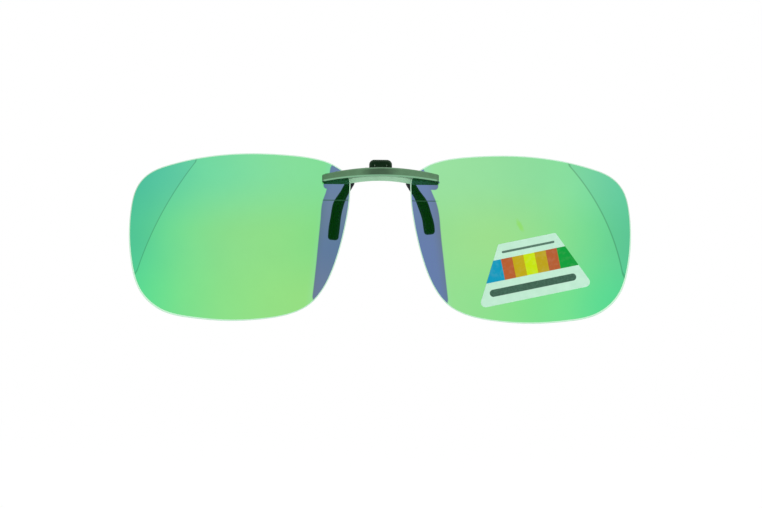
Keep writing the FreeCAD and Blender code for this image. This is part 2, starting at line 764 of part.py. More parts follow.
leaf = doc.addObject("PartDesign::Body", "leaf_body")
leaf_front = barrel_back + LEAF_GAP
leaf_back = leaf_front + dim.leaf_thick
foot_back = -dim.sheet_thick / 2 - FOOT_GAP
foot_front = foot_back - dim.leaf_thick
shelf_top = SHELF_Z + dim.leaf_thick
leaf_section = body_sketch(
    leaf,
    "leaf_section",
    "YZ_Plane",
    [
        (leaf_front, SHELF_Z),
        (foot_front, SHELF_Z),
        (foot_front, FOOT_LOW_Z),
        (foot_back, FOOT_LOW_Z),
        (foot_back, shelf_top),
        (leaf_back, shelf_top),
        (leaf_back, 2.9),
        (leaf_back + LEAF_LIP_OUT, 3.12),
        (leaf_front + LEAF_LIP_OUT - 0.03, 3.2),
        (leaf_front, 2.95),
    ],
)
add_pad(leaf, "leaf_pad", leaf_section, dim.leaf_half * 2, midplane=True)
leaf_holes = rivet_holes("leaf_holes", "leaf_hole", -2.0)
add_piece("detent_leaf", cut("detent_leaf_cut", leaf, leaf_holes))

rivets = []
for i, x in enumerate(RIVET_PLACES):
    parts = [
        cylinder("leaf_rivet_%s_%d" % (part, i), radius, length, x, y, RIVET_Z)
        for part, radius, length, y in (
            ("shank", RIVET_RAD, RIVET_LONG, RIVET_FRONT_Y),
            ("head", RIVET_HEAD_RAD, RIVET_HEAD_HIGH, RIVET_FRONT_Y),
            ("tail", RIVET_HEAD_RAD, RIVET_HEAD_HIGH, RIVET_TAIL_Y),
        )
    ]
    rivets.append(fuse("leaf_rivet_%d" % i, *parts))
add_piece("leaf_rivets", compound("leaf_rivets_group", rivets))

# ---------------------------------------------------------------- arms and rubber sleeves
BEND_RADIUS = 6.0
TONGUE_TIP_RADIUS, SLEEVE_TIP_RADIUS = 0.45, 0.85
TONGUE_ROOT, BORE_ROOT = 1.4, 2.0  # run back past the sleeve's start
SLEEVE_END = 1.0  # rubber beyond the end of the bore
TIP_PLAY = 0.1  # from the steel tip to the end of the bore
BORE_PLAY = 0.04  # added to width and thickness
SLEEVE_ROUND = 0.8


def arm_path(sign, short):
    """Start, knee, bow and tip of an arm as (x, z), with the tip drawn back by short."""
    side = "left" if sign < 0 else "right"
    knee, bow, tip = [
        (getattr(val, "%s_%s_x" % (side, place_name)), getattr(val, "%s_%s_z" % (side, place_name)))
        for place_name in ("knee", "bow", "tip")
    ]
    keep = 1.0 - short / math.hypot(tip[0] - bow[0], tip[1] - bow[1])
    tip = (bow[0] + (tip[0] - bow[0]) * keep, bow[1] + (tip[1] - bow[1]) * keep)
    start = (val.arm_start_x, val.arm_start_z)
    return [(sign * x, z) for x, z in (start, knee, bow, tip)]


def arm_core(name, sign, middle_y, width, thickness, short, root):
    """The steel tongue: from the sheet down and out to knee and bow, then the lower arm."""
    path = arm_path(sign, short)
    start, knee = path[0], path[1]
    back = (start[0] - knee[0], start[1] - knee[1])
    length = math.hypot(*back)
    head = (start[0] + back[0] / length * root, start[1] + back[1] / length * root)
    wire = rounded_wire(strip([head] + path[1:], width, BEND_RADIUS, TONGUE_TIP_RADIUS))
    face = outline_face(name + "_outline", wire, y=middle_y - thickness / 2)
    return extrude(name + "_core", face, BACKWARD, thickness)


def add_sleeve(label, sign, middle_y, width, short):
    path = arm_path(sign, short)
    start_x, start_z = path[0]
    wire = rounded_wire(strip(path, width, BEND_RADIUS, SLEEVE_TIP_RADIUS))
    face = outline_face(label + "_outline", wire, y=middle_y - val.sleeve_thick / 2)
    blank = extrude(label + "_blank", face, BACKWARD, dim.sleeve_thick)

    def edge_radius(edge):
        """Rounds the outlines of both flat faces, but not at the open start."""
        centre = edge.CenterOfMass
        at_start = math.hypot(centre.x - start_x, centre.z - start_z) < 0.6
        return SLEEVE_ROUND if edge.BoundBox.YLength < 1e-4 and not at_start else None

    rubber = soften(label + "_rounded", blank, edge_radius)
    core = arm_core(
        label + "_bore", sign, middle_y,
        val.arm_wide + BORE_PLAY, val.sheet_thick + BORE_PLAY, short + SLEEVE_END, BORE_ROOT,
    )
    add_piece(label, cut(label + "_hollow", rubber, core))


arms = {}
for row, middle_y, width, short in (
    ("front", 0.0, val.sleeve_wide, 0.0),
    ("rear", val.lever_y, val.rear_sleeve_wide, val.rear_tip_up),
):
    arms[row] = []
    for side, sign in SIDES[::-1]:
        arms[row].append(
            arm_core(
                "%s_arm_%s" % (row, side), sign, middle_y,
                val.arm_wide, val.sheet_thick, short + SLEEVE_END + TIP_PLAY, TONGUE_ROOT,
            )
        )
        add_sleeve("%s_%s_sleeve" % (row, side), sign, middle_y, width, short)

# ---------------------------------------------------------------- stamped sheet with folded ears
EYE_BORE_LONG = 30.0
ROOT_OVERLAP = 0.1  # distance of an ear's root from the middle of the sheet


def ear(inner_x, eye_y, eye_z, eye_radius, root_y, root_low_z, root_high_z, pin_radius):
    """Inner face, outline and hole of an ear: a round eye with straight flanks to the sheet."""
    root_y = Size.of(root_y)
    if root_y.value > eye_y.value:  # the root is behind the eye
        reach, root_zs = eye_radius, (root_low_z, root_high_z)
    else:
        reach, root_zs = -eye_radius, (root_high_z, root_low_z)
    corners = [
        (eye_y, eye_z - reach),
        (root_y, root_zs[0]),
        (root_y, root_zs[1]),
        (eye_y, eye_z + reach, eye_radius),
        (eye_y - reach, eye_z, eye_radius),
    ]
    return inner_x, corners, (eye_y, eye_z, pin_radius + dim.run_gap)


def sheet_body(name, middle_y, right_half, ears):
    """A flat blank in an XZ plane with pairs of ears in YZ planes, each with its pin hole."""
    body = doc.addObject("PartDesign::Body", name)
    blank = body_sketch(body, name + "_blank", "XZ_Plane", mirrored(right_half), offset=-middle_y)
    add_pad(body, name + "_plate", blank, dim.sheet_thick, midplane=True)
    for j, (inner_x, corners, hole) in enumerate(ears):
        for side, offset in (("r", inner_x), ("l", -(inner_x + dim.ear_thick))):
            sketch_name = "%s_ear%d_%s" % (name, j, side)
            sketch = body_sketch(body, sketch_name, "YZ_Plane", corners, offset=offset)
            add_pad(body, "%s_fold%d_%s" % (name, j, side), sketch, dim.ear_thick)
    for j, (inner_x, corners, hole) in enumerate(ears):
        add_bore(body, "%s_eye%d" % (name, j), "%s_bore%d" % (name, j), *hole, EYE_BORE_LONG)
    return body


# Outer corners of the wing that both sheets carry on each side, where the arms start.
WING = [(dim.carrier_half + 1.5, 0.25), (dim.carrier_half + 1.9, 1.1)]

# ---------------------------------------------------------------- clip carrier (front jaw)
SHOULDER_Z, SHOULDER_IN = 2.6, 0.8  # sloping top corners

carrier = sheet_body(
    "carrier_sheet",
    0.0,
    [(dim.carrier_half, 0.0)] + WING + [
        (dim.carrier_half, SHOULDER_Z),
        (dim.carrier_half - SHOULDER_IN, dim.carrier_top_z),
    ],
    [
        ear(
            dim.ear_in_x, dim.flip_y, dim.flip_z, dim.ear_rad,
            root_y=-ROOT_OVERLAP, root_low_z=0.7, root_high_z=3.05, pin_radius=dim.flip_rad,
        ),
        ear(
            dim.carrier_ear_x, dim.jaw_y, dim.jaw_z, dim.jaw_ear_rad,
            root_y=ROOT_OVERLAP, root_low_z=0.4, root_high_z=2.7, pin_radius=dim.jaw_rad,
        ),
    ],
)
carrier_joined = fuse("clip_carrier_joined", carrier, *arms["front"])
carrier_holes = rivet_holes("carrier_holes", "carrier_rivet_hole", -1.5)
add_piece("clip_carrier", cut("clip_carrier_cut", carrier_joined, carrier_holes))

# ---------------------------------------------------------------- rear lever (sprung jaw)
LEVER_HALF = 4.6
TONGUE_CHAMFER = 0.5

lever = sheet_body(
    "lever_sheet",
    dim.lever_y,
    [(LEVER_HALF, 0.0)] + WING + [
        (LEVER_HALF, 2.5),
        (LEVER_HALF, 2.9),
        (dim.lever_tongue_half, 3.1),
        (dim.lever_tongue_half, dim.lever_top_z - TONGUE_CHAMFER),
        (dim.lever_tongue_half - TONGUE_CHAMFER, dim.lever_top_z),
    ],
    [
        ear(
            dim.lever_ear_x, dim.jaw_y, dim.jaw_z, dim.jaw_ear_rad,
            root_y=dim.lever_y - ROOT_OVERLAP, root_low_z=0.5, root_high_z=2.6,
            pin_radius=dim.jaw_rad,
        ),
    ],
)
add_piece("rear_lever", fuse("rear_lever_joined", lever, *arms["rear"]))

# ---------------------------------------------------------------- jaw pin with riveted ends
# Riveted end, from its middle inwards: distance beyond the ear's gap, radius.
RIVETED_END = [(0.28, 0.0), (0.28, 0.45), (0.14, 0.72), (0.0, 0.75), (0.0, dim.jaw_rad)]
END_GAP = 0.03

pin_end_x = dim.carrier_ear_x + dim.ear_thick + END_GAP
jaw_pin_half = [(pin_end_x + out, dim.jaw_z + radius) for out, radius in RIVETED_END]
add_piece("jaw_pin", turned_pin("jaw_pin", mirrored(jaw_pin_half), dim.jaw_y))

# ---------------------------------------------------------------- torsion spring
# One smooth wire: the front leg down from the carrier, the coil round the jaw pin, and the rear
# leg up to the lever.
LEG_GAP = 0.03  # from the wire to the sheet it rests on
FRONT_LEG_TOP_Z, REAR_LEG_TOP_Z = 2.95, 3.0
LEG_STEPS, TURN_STEPS = 6, 16


def spring_points():
    turns = val.coil_turns + 0.5
    half = val.coil_turns * val.coil_pitch / 2
    coil_front, coil_back = val.jaw_y - val.coil_rad, val.jaw_y + val.coil_rad
    front_rest = val.sheet_thick / 2 + val.wire_rad + LEG_GAP
    rear_rest = val.lever_y - val.sheet_thick / 2 - val.wire_rad - LEG_GAP
    points = []
    for k in range(LEG_STEPS):
        part = k / LEG_STEPS
        y = front_rest + (coil_front - front_rest) * part
        z = FRONT_LEG_TOP_Z + (val.jaw_z - FRONT_LEG_TOP_Z) * part
        points.append(FreeCAD.Vector(-half, y, z))
    steps = int(turns * TURN_STEPS)
    for k in range(steps + 1):
        angle = math.pi + 2 * math.pi * turns * k / steps
        y = val.jaw_y + val.coil_rad * math.cos(angle)
        z = val.jaw_z + val.coil_rad * math.sin(angle)
        points.append(FreeCAD.Vector(-half + 2 * half * k / steps, y, z))
    for k in range(1, LEG_STEPS + 1):
        part = k / LEG_STEPS
        y = coil_back + (rear_rest - coil_back) * part
        z = val.jaw_z + (REAR_LEG_TOP_Z - val.jaw_z) * part
        points.append(FreeCAD.Vector(half, y, z))
    return points


wire_points = spring_points()
wire_curve = Part.BSplineCurve()
wire_curve.interpolate(Points=wire_points)
wire_tangent = wire_curve.tangent(wire_curve.FirstParameter)[0]
wire_ring = Part.Wire([Part.Circle(wire_points[0], wire_tangent, val.wire_rad).toShape()])
sweep = Part.BRepOffsetAPI.MakePipeShell(Part.Wire([wire_curve.toShape()]))
sweep.setBiNormalMode(FreeCAD.Vector(1, 0, 0))
sweep.add(wire_ring)
sweep.build()
sweep.makeSolid()
add_piece("torsion_spring", feature("torsion_spring_wire", sweep.shape()))

# ---------------------------------------------------------------- thumb tab cover
TAB_CORNER_RADIUS, TAB_ROUND = 1.35, 0.45
TAB_PLAY = 0.02
TAB_CAVITY_DROP = 1  # the cavity tool runs below the tab by this


def tab_edge_radius(edge):
    """Rounds the outlines of the front and back faces, but not along the open bottom."""
    bounds = edge.BoundBox
    at_bottom = bounds.ZLength < 1e-4 and bounds.ZMax < val.tab_low_z + 0.01
    return TAB_ROUND if bounds.YLength < 1e-4 and not at_bottom else None


tab_wire = rounded_wire(
    [
        (-val.tab_half, val.tab_low_z, 0.0),
        (val.tab_half, val.tab_low_z, 0.0),
        (val.tab_half, val.tab_top_z, TAB_CORNER_RADIUS),
        (-val.tab_half, val.tab_top_z, TAB_CORNER_RADIUS),
    ]
)
tab_face = outline_face("tab_outline", tab_wire, y=val.tab_front_y)
tab_blank = extrude("tab_blank", tab_face, BACKWARD, dim.tab_back_y - dim.tab_front_y)
tab_soft = soften("tab_rounded", tab_blank, tab_edge_radius)
tab_cavity = box(
    "tab_cavity",
    -dim.lever_tongue_half - TAB_PLAY, dim.lever_tongue_half + TAB_PLAY,
    dim.lever_y - dim.sheet_thick / 2 - TAB_PLAY, dim.lever_y + dim.sheet_thick / 2 + TAB_PLAY,
    dim.tab_low_z - TAB_CAVITY_DROP, dim.lever_top_z + TAB_PLAY,
)
add_piece("thumb_tab_cover", cut("thumb_tab_hollow", tab_soft, tab_cavity))

# ---------------------------------------------------------------- peel-off label on the right lens
LABEL_LOW_RADIUS, LABEL_TOP_RADIUS = 1.25, 0.4
LABEL_GAP = 0.01  # in front of the lens
LABEL_BLANK_Y, LABEL_BLANK_LONG = -14, 20.0

half_low, half_top = val.label_low_wide / 2, val.label_top_wide / 2
half_high, lean = val.label_high / 2, val.label_lean / 2
label_wire = rounded_wire(
    [
        (-half_low - lean, -half_high, LABEL_LOW_RADIUS),
        (half_low - lean, -half_high, LABEL_LOW_RADIUS),
        (half_top + lean, half_high, LABEL_TOP_RADIUS),
        (-half_top + lean, half_high, LABEL_TOP_RADIUS),
    ]
)
label_face = outline_face(
    "label_outline", label_wire, val.label_x, LABEL_BLANK_Y, val.label_z,
    FreeCAD.Rotation(FreeCAD.Vector(0, 1, 0), -val.label_turn),
)
label_blank = extrude("label_blank", label_face, BACKWARD, LABEL_BLANK_LONG)
label_back_radius = dim.lens_radius + LABEL_GAP
label_front = sphere("label_front_sphere", label_back_radius + dim.label_thick)
label_dome = common("label_dome", label_blank, label_front)
label_back = sphere("label_back_sphere", label_back_radius)
add_piece("peel_off_label", cut("label_film", label_dome, label_back))

# ---------------------------------------------------------------- check and write
doc.recompute()
for obj in doc.Objects:
    bad = [state for state in obj.State if state in ("Invalid", "Error")]
    if bad:
        raise SystemExit("object %s is %s" % (obj.Name, bad))

os.makedirs("parts", exist_ok=True)
for old in os.listdir("parts"):
    if old.endswith(".step"):
        os.remove(os.path.join("parts", old))
for label in sorted(pieces):
    shape = pieces[label].Shape
    if shape.isNull() or not shape.isValid() or not shape.Solids:
        raise SystemExit("sub-part %s has no valid solid" % label)
    if any(solid.Volume <= 0 for solid in shape.Solids):
        raise SystemExit("sub-part %s has a solid with no volume" % label)
    shape.exportStep("parts/%s.step" % label)
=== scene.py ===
"""Clip-on flip-up sunglasses: two green mirror lenses under a bridge bar, a clip with four
rubber-sleeved arms, a thumb tab on its lever and a label on the right-hand lens.

The piece faces -Y. X runs across it ("left" is -X) and Z is up. Sizes are in millimetres
unless noted, and become metres as they enter Blender.
"""
import math

import bmesh
import bpy
import numpy as np
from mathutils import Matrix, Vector

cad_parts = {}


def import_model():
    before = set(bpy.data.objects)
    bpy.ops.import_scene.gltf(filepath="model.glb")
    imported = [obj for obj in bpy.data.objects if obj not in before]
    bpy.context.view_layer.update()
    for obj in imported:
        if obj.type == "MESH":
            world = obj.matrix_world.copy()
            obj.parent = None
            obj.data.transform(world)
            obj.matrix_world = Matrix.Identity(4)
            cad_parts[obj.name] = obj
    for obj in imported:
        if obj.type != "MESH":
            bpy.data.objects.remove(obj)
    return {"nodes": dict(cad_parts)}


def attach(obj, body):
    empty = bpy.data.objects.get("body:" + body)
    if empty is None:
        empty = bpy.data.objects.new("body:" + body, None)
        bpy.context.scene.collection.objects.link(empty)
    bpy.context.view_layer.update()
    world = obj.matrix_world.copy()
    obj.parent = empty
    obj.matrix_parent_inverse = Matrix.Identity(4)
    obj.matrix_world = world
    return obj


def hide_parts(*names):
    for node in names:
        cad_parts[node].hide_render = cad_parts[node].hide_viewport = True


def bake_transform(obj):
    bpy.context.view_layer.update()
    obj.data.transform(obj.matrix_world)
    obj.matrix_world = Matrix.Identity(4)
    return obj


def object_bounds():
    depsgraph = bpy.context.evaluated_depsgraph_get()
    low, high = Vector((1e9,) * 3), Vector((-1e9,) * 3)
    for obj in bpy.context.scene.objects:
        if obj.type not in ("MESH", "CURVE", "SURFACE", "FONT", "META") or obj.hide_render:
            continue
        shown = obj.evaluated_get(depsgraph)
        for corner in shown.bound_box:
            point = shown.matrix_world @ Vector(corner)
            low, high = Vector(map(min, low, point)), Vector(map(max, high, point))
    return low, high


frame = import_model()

CAD_LO, CAD_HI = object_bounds()
MM = 0.001

# ---------------------------------------------------------------- shared sizes
# Both lens faces are spheres about one centre, at x = 0.
LENS_RADIUS = 200.0
LENS_THICKNESS = 1.1
LENS_CENTRE_Y = 193.4
LENS_CENTRE_Z = -15.2
LIP_RISE = 1.4  # the bar's lower lip above the origin
BAR_CURVE = 0.0061  # drop of the bar per square millimetre of x

# Edge of a lens: (distance from the centre plane, height above the bar's lower lip)
OUTLINE = [
    (12.60, 2.68), (16.58, 4.02), (20.60, 4.70), (24.70, 5.08), (31.19, 5.39), (37.00, 5.33),
    (42.66, 4.89), (48.60, 4.01), (55.55, 2.32), (61.12, -0.05), (64.13, -3.30),
    (65.78, -8.65), (66.34, -16.27), (65.68, -23.84), (63.31, -31.09), (57.20, -36.35),
    (49.60, -38.05), (42.96, -38.62), (37.00, -38.65), (31.16, -38.20), (24.85, -37.12),
    (18.33, -34.17), (14.19, -29.11), (11.44, -22.60), (9.68, -16.27), (8.60, -10.90),
    (8.03, -6.60), (7.88, -3.60), (8.06, -1.10), (8.85, 0.25), (10.50, 1.45),
]

# Middle lines of the clip's arms: (distance from the centre plane, z)
ARM_LEFT = [
    (7.67, -0.2), (8.50, -1.60), (9.52, -3.45), (10.40, -5.05), (11.02, -6.45),
    (11.45, -8.30), (11.93, -11.5), (12.23, -14.3), (12.35, -15.8),
]
ARM_RIGHT = [
    (7.50, -0.2), (8.14, -1.20), (8.97, -2.48), (9.95, -3.94), (10.76, -5.30),
    (11.28, -6.40), (11.83, -7.95), (12.40, -9.76), (12.83, -11.8), (13.10, -14.12),
]
REAR_ARM_Y = 2.8  # the front arms lie at y = 0

TAB_HALF_WIDTH = 3.02
TAB_BOTTOM, TAB_TOP = 3.20, 5.50
TAB_FRONT, TAB_REAR = 1.55, 4.05
TAB_TOP_RADIUS = 1.30
TAB_RIBS = (-1.55, 1.60)  # x of the two upright ribs

# The label is a trapezium, wide at the bottom, turned about its own middle.
LABEL_X, LABEL_Z = 39.95, -22.59
LABEL_BOTTOM_WIDTH, LABEL_TOP_WIDTH = 30.9, 15.45
LABEL_HEIGHT = 15.56
LABEL_LEAN = 0.6  # sideways shift of the top against the bottom
LABEL_COS, LABEL_SIN = math.cos(math.radians(12.0)), math.sin(math.radians(12.0))

CAMERA_ROLL = math.radians(0.55)


def lens_y(x, z, radius):
    """Y of a sphere about the lens centre, on its front side."""
    return LENS_CENTRE_Y - np.sqrt(radius**2 - x**2 - (z - LENS_CENTRE_Z) ** 2)


# ---------------------------------------------------------------- shader helpers
tree = None  # the node tree that the helpers add to; start_tree sets it


def operator(kind, swapped=False):
    def apply(self, other):
        return calc(kind, other, self) if swapped else calc(kind, self, other)
    return apply


class Signal:
    """A node output. Each arithmetic operator on it adds one Math node."""

    def __init__(self, socket):
        self.socket = socket

    __add__, __radd__ = operator("ADD"), operator("ADD", swapped=True)
    __sub__, __rsub__ = operator("SUBTRACT"), operator("SUBTRACT", swapped=True)
    __mul__ = operator("MULTIPLY")
    __truediv__ = operator("DIVIDE")
    __pow__ = operator("POWER")

    def __abs__(self):
        return calc("ABSOLUTE", self)

    def fade(self, start, end, interpolation="SMOOTHSTEP"):
        """0 where the signal is at start or before it, 1 from end on; start may exceed end."""
        inputs = {0: self, 1: start, 2: end}
        return signal("ShaderNodeMapRange", inputs, interpolation_type=interpolation)


def start_tree(owner):
    global tree
    owner.use_nodes = True
    tree = owner.node_tree
    tree.nodes.clear()


def put(socket, value):
    """Links a signal or sets a value; None leaves the socket as it is."""
    if isinstance(value, Signal):
        tree.links.new(value.socket, socket)
    elif value is not None:
        if hasattr(value, "__len__") and len(value) == 3 and len(socket.default_value) == 4:
            value = [*value, 1.0]
        socket.default_value = value


def node(kind, inputs=None, **properties):
    """Adds a node; inputs maps input names or indices to values."""
    new = tree.nodes.new(kind)
    for key, value in properties.items():
        setattr(new, key, value)
    for key, value in (inputs or {}).items():
        put(new.inputs[key], value)
    return new


def signal(kind, inputs=None, output=0, **properties):
    return Signal(node(kind, inputs, **properties).outputs[output])


def calc(operation, first, second=None):
    return signal("ShaderNodeMath", {0: first, 1: second}, operation=operation)


def hypot(first, second):
    return calc("SQRT", first * first + second * second)


def outside(value, limit):
    """How far the value exceeds the limit, or 0."""
    return calc("MAXIMUM", value - limit, 0.0)


def vector_math(operation, inputs, output=0):
    return signal("ShaderNodeVectorMath", inputs, output, operation=operation)


def normalize(vector):
    return vector_math("NORMALIZE", {0: vector})


def stretch(vector, factors):
    return vector_math("MULTIPLY", {0: vector, 1: factors})


def dot(first, second):
    return vector_math("DOT_PRODUCT", {0: first, 1: second}, "Value")


def change_space(vector, source, target):
    spaces = {"convert_from": source, "convert_to": target}
    return signal("ShaderNodeVectorTransform", {0: vector}, vector_type="VECTOR", **spaces)


def xyz(vector):
    split = node("ShaderNodeSeparateXYZ", {0: vector})
    return [Signal(output) for output in split.outputs]


def combine(x, y, z):
    return signal("ShaderNodeCombineXYZ", {0: x, 1: y, 2: z})


def mix(factor, first, second, mode="MIX"):
    inputs = {0: factor, 6: first, 7: second}
    return signal("ShaderNodeMix", inputs, output=2, data_type="RGBA", blend_type=mode)


def multiply(first, second):
    return mix(1.0, first, second, "MULTIPLY")


def noise(vector, scale, detail=3.0, rough=0.5):
    inputs = {"Vector": vector, "Scale": scale, "Detail": detail, "Roughness": rough}
    return signal("ShaderNodeTexNoise", inputs)


def voronoi(vector, scale, output):
    return signal("ShaderNodeTexVoronoi", {"Vector": vector, "Scale": scale}, output)


def ramp(factor, stops):
    """Smooth colour ramp through stops of (position, colour)."""
    new = node("ShaderNodeValToRGB", {0: factor})
    colours = new.color_ramp
    colours.interpolation = "B_SPLINE"
    while len(colours.elements) > 1:
        colours.elements.remove(colours.elements[-1])
    for i, (position, colour) in enumerate(stops):
        element = colours.elements[0] if i == 0 else colours.elements.new(position)
        element.position = position
        element.color = [*colour, 1.0]
    return Signal(new.outputs[0])


def curve(value, points, domain, span):
    """Smooth curve through points, whose x lie in domain and y in span."""
    (x_low, x_high), (y_low, y_high) = domain, span
    new = node("ShaderNodeFloatCurve", {"Value": value.fade(x_low, x_high, "LINEAR")})
    line = new.mapping.curves[0]
    while len(line.points) < len(points):
        line.points.new(0.5, 0.5)
    for point, (x, y) in zip(line.points, points):
        point.location = ((x - x_low) / (x_high - x_low), (y - y_low) / (y_high - y_low))
        point.handle_type = "AUTO"
    new.mapping.update()
    return Signal(new.outputs[0]) * (y_high - y_low) + y_low


def bump(height, strength, depth, normal=None):
    """Bumped normal; depth is in millimetres."""
    inputs = {"Strength": strength, "Distance": depth * MM, "Height": height, "Normal": normal}
    return signal("ShaderNodeBump", inputs)


def geometry(output):
    return signal("ShaderNodeNewGeometry", output=output)


def local_mm():
    """Position in the piece's own frame, in millimetres."""
    position = signal("ShaderNodeTexCoord", output="Object")
    return vector_math("SCALE", {0: position, 3: 1000.0})


PRINCIPLED_INPUTS = {
    "colour": "Base Color", "metallic": "Metallic", "rough": "Roughness", "normal": "Normal",
    "coat": "Coat Weight", "coat_rough": "Coat Roughness", "specular": "Specular IOR Level",
    "sheen": "Sheen Weight", "subsurface": "Subsurface Weight", "tint": "Specular Tint",
    "glow": "Emission Color", "glow_strength": "Emission Strength",
}


def principled(**settings):
    inputs = {PRINCIPLED_INPUTS[key]: value for key, value in settings.items()}
    return signal("ShaderNodeBsdfPrincipled", inputs)


def glossy(colour, rough, normal):
    inputs = {"Color": colour, "Roughness": rough, "Normal": normal}
    return signal("ShaderNodeBsdfGlossy", inputs)


def transparent(colour=(1.0, 1.0, 1.0)):
    return signal("ShaderNodeBsdfTransparent", {"Color": colour})


def emission(colour, strength=1.0):
    return signal("ShaderNodeEmission", {"Color": colour, "Strength": strength})


def add_shaders(first, second):
    return signal("ShaderNodeAddShader", {0: first, 1: second})


def mix_shaders(factor, first, second):
    return signal("ShaderNodeMixShader", {0: factor, 1: first, 2: second})


def material(name):
    """A new material, whose emptied tree the helpers now add to."""
    new = bpy.data.materials.new(name)
    start_tree(new)
    return new


def surface(shader, output="ShaderNodeOutputMaterial"):
    node(output, {0: shader})


def srgb(colour):
    """Linear colour from 0-255 sRGB."""
    shares = [channel / 255.0 for channel in colour]
    return [s / 12.92 if s <= 0.04045 else ((s + 0.055) / 1.055) ** 2.4 for s in shares]


# ---------------------------------------------------------------- painted reflections of the light tent
DEGREES = 57.29578  # in a radian

# Sewn joints of the light tent, as planes in the mirrored direction: (normal, offset, side)
SEAMS = (
    ((0.25819, -0.89386, -0.36655), 0.55024, -1.0),
    ((-0.05641, 0.97253, 0.22586), -0.79779, 1.0),
)

# Sides of the tent's dark opening: (elevation, azimuth), in degrees
OPENING_LEFT = [
    (-20, -12.4), (-9.8, -10.94), (-5, -10.33), (-1, -9.94), (3, -9.59), (5.55, -9.39),
    (7.8, -8.72), (11.8, -8.1), (20, -6.6),
]
OPENING_RIGHT = [
    (-20, 12.9), (-10, 11.22), (-1.3, 10.03), (0.8, 9.79), (4.1, 9.46), (5.56, 9.14),
    (8, 8.17), (11.5, 7.06), (20, 5.6),
]


def mirrored_view():
    """Where the surface mirrors, relative to the opening that the camera stands in.

    Returns azimuth and elevation in degrees, the x, y, z of the direction with the opening
    turned to -Y, and how nearly the camera stands straight in front (0 to 1).
    """
    reflection = normalize(signal("ShaderNodeTexCoord", output="Reflection"))
    across, depth, rise = None, None, None
    across, rise, depth = xyz(normalize(change_space(reflection, "WORLD", "CAMERA")))
    # camera space looks along +Z in Cycles; undo the roll
    cos, sin = math.cos(CAMERA_ROLL), math.sin(CAMERA_ROLL)
    x = across * cos + rise * -sin
    z = across * sin + rise * cos
    azimuth = calc("ARCTAN2", x, depth * -1.0) * DEGREES
    elevation = calc("ARCSINE", z) * DEGREES
    axis = normalize(change_space((0.0, 0.0, 1.0), "CAMERA", "WORLD"))
    ahead = dot(axis, (0.0, 1.0, 0.0)).fade(0.90, 0.985)
    return azimuth, elevation, (x, depth, z), ahead


def opening(azimuth, elevation):
    """1 inside the tent's dark opening, which widens towards the bottom, and its cross piece."""
    soft = 0.10
    left = curve(elevation, OPENING_LEFT, domain=(-20, 20), span=(-14, 0))
    right = curve(elevation, OPENING_RIGHT, domain=(-20, 20), span=(0, 14))
    sides = (azimuth - left).fade(-soft, soft) * (azimuth - right).fade(soft, -soft)
    gap = sides * (elevation.fade(24.0, 20.0) * elevation.fade(-30.0, -24.0))
    # two halves of a rounded cross piece: half length, corner radius, side
    cross_height, half_height, blur = 8.77, 0.80, 0.08
    for half_length, radius, side in ((9.22, 0.62, -1.0), (9.34, 0.58, 1.0)):
        outward_azimuth = azimuth * side - elevation.fade(8.90, 9.10) * 0.27
        over_x = outside(outward_azimuth, half_length - radius)
        over_z = outside(abs(elevation - cross_height), half_height - radius)
        distance = hypot(over_x, over_z)
        cross = distance.fade(radius + blur, radius - blur) * (azimuth * side).fade(-0.2, 0.2)
        gap = calc("MAXIMUM", gap, cross)
    return gap * abs(azimuth).fade(60.0, 50.0)


# ---------------------------------------------------------------- metal, rubber and plastic
def edge_wear(place, radius):
    """1 on worn outer edges and 0 elsewhere, and the normal rounded over the radius."""
    bevel = node("ShaderNodeBevel", {"Radius": radius * MM}, samples=4)
    rounded = Signal(bevel.outputs[0])
    away = dot(rounded, geometry("Normal")).fade(0.985, 0.90)
    patches = noise(place, scale=1.6, detail=4.0, rough=0.65).fade(0.42, 0.66)
    return away * patches, rounded


def metal_lacquer(name, dark, light, rough, bare, metallic, wear, edge_radius=0.12, tones=None):
    """Satin lacquer on metal: cloudy tone, fine flake, orange-peel bump and bare edges.

    tones, if given, is a function of place and colour that paints local tones, painted light and
    shadow.
    """
    mat = material(name)
    place = local_mm()
    cloud = noise(place, scale=0.28, detail=4.0, rough=0.6)
    colour = mix(cloud.fade(0.32, 0.68), dark, light)
    colour = mix(0.05, colour, voronoi(place, scale=22.0, output="Color"), "OVERLAY")
    brushed = noise(stretch(place, (0.6, 6.0, 9.0)), scale=1.2, detail=4.0, rough=0.7)
    colour = mix(brushed.fade(0.35, 0.7) * 0.10, colour, (0.03, 0.05, 0.03))
    if tones is not None:
        colour = tones(place, colour)
    worn, rounded = edge_wear(place, edge_radius)
    colour = mix(worn * wear, colour, bare)
    fine = noise(place, scale=9.0, detail=2.0)
    roughness = (fine - 0.5) * 0.10 + rough
    patches = noise(place, scale=1.1, detail=5.0, rough=0.7)
    roughness = roughness + patches.fade(0.45, 0.75) * 0.08
    peel = noise(place, scale=5.0, rough=0.55)
    surface(principled(
        colour=colour, metallic=metallic, rough=roughness, specular=0.5, coat=0.20,
        coat_rough=0.22, normal=bump(peel, strength=0.10, depth=0.02, normal=rounded),
    ))
    return mat


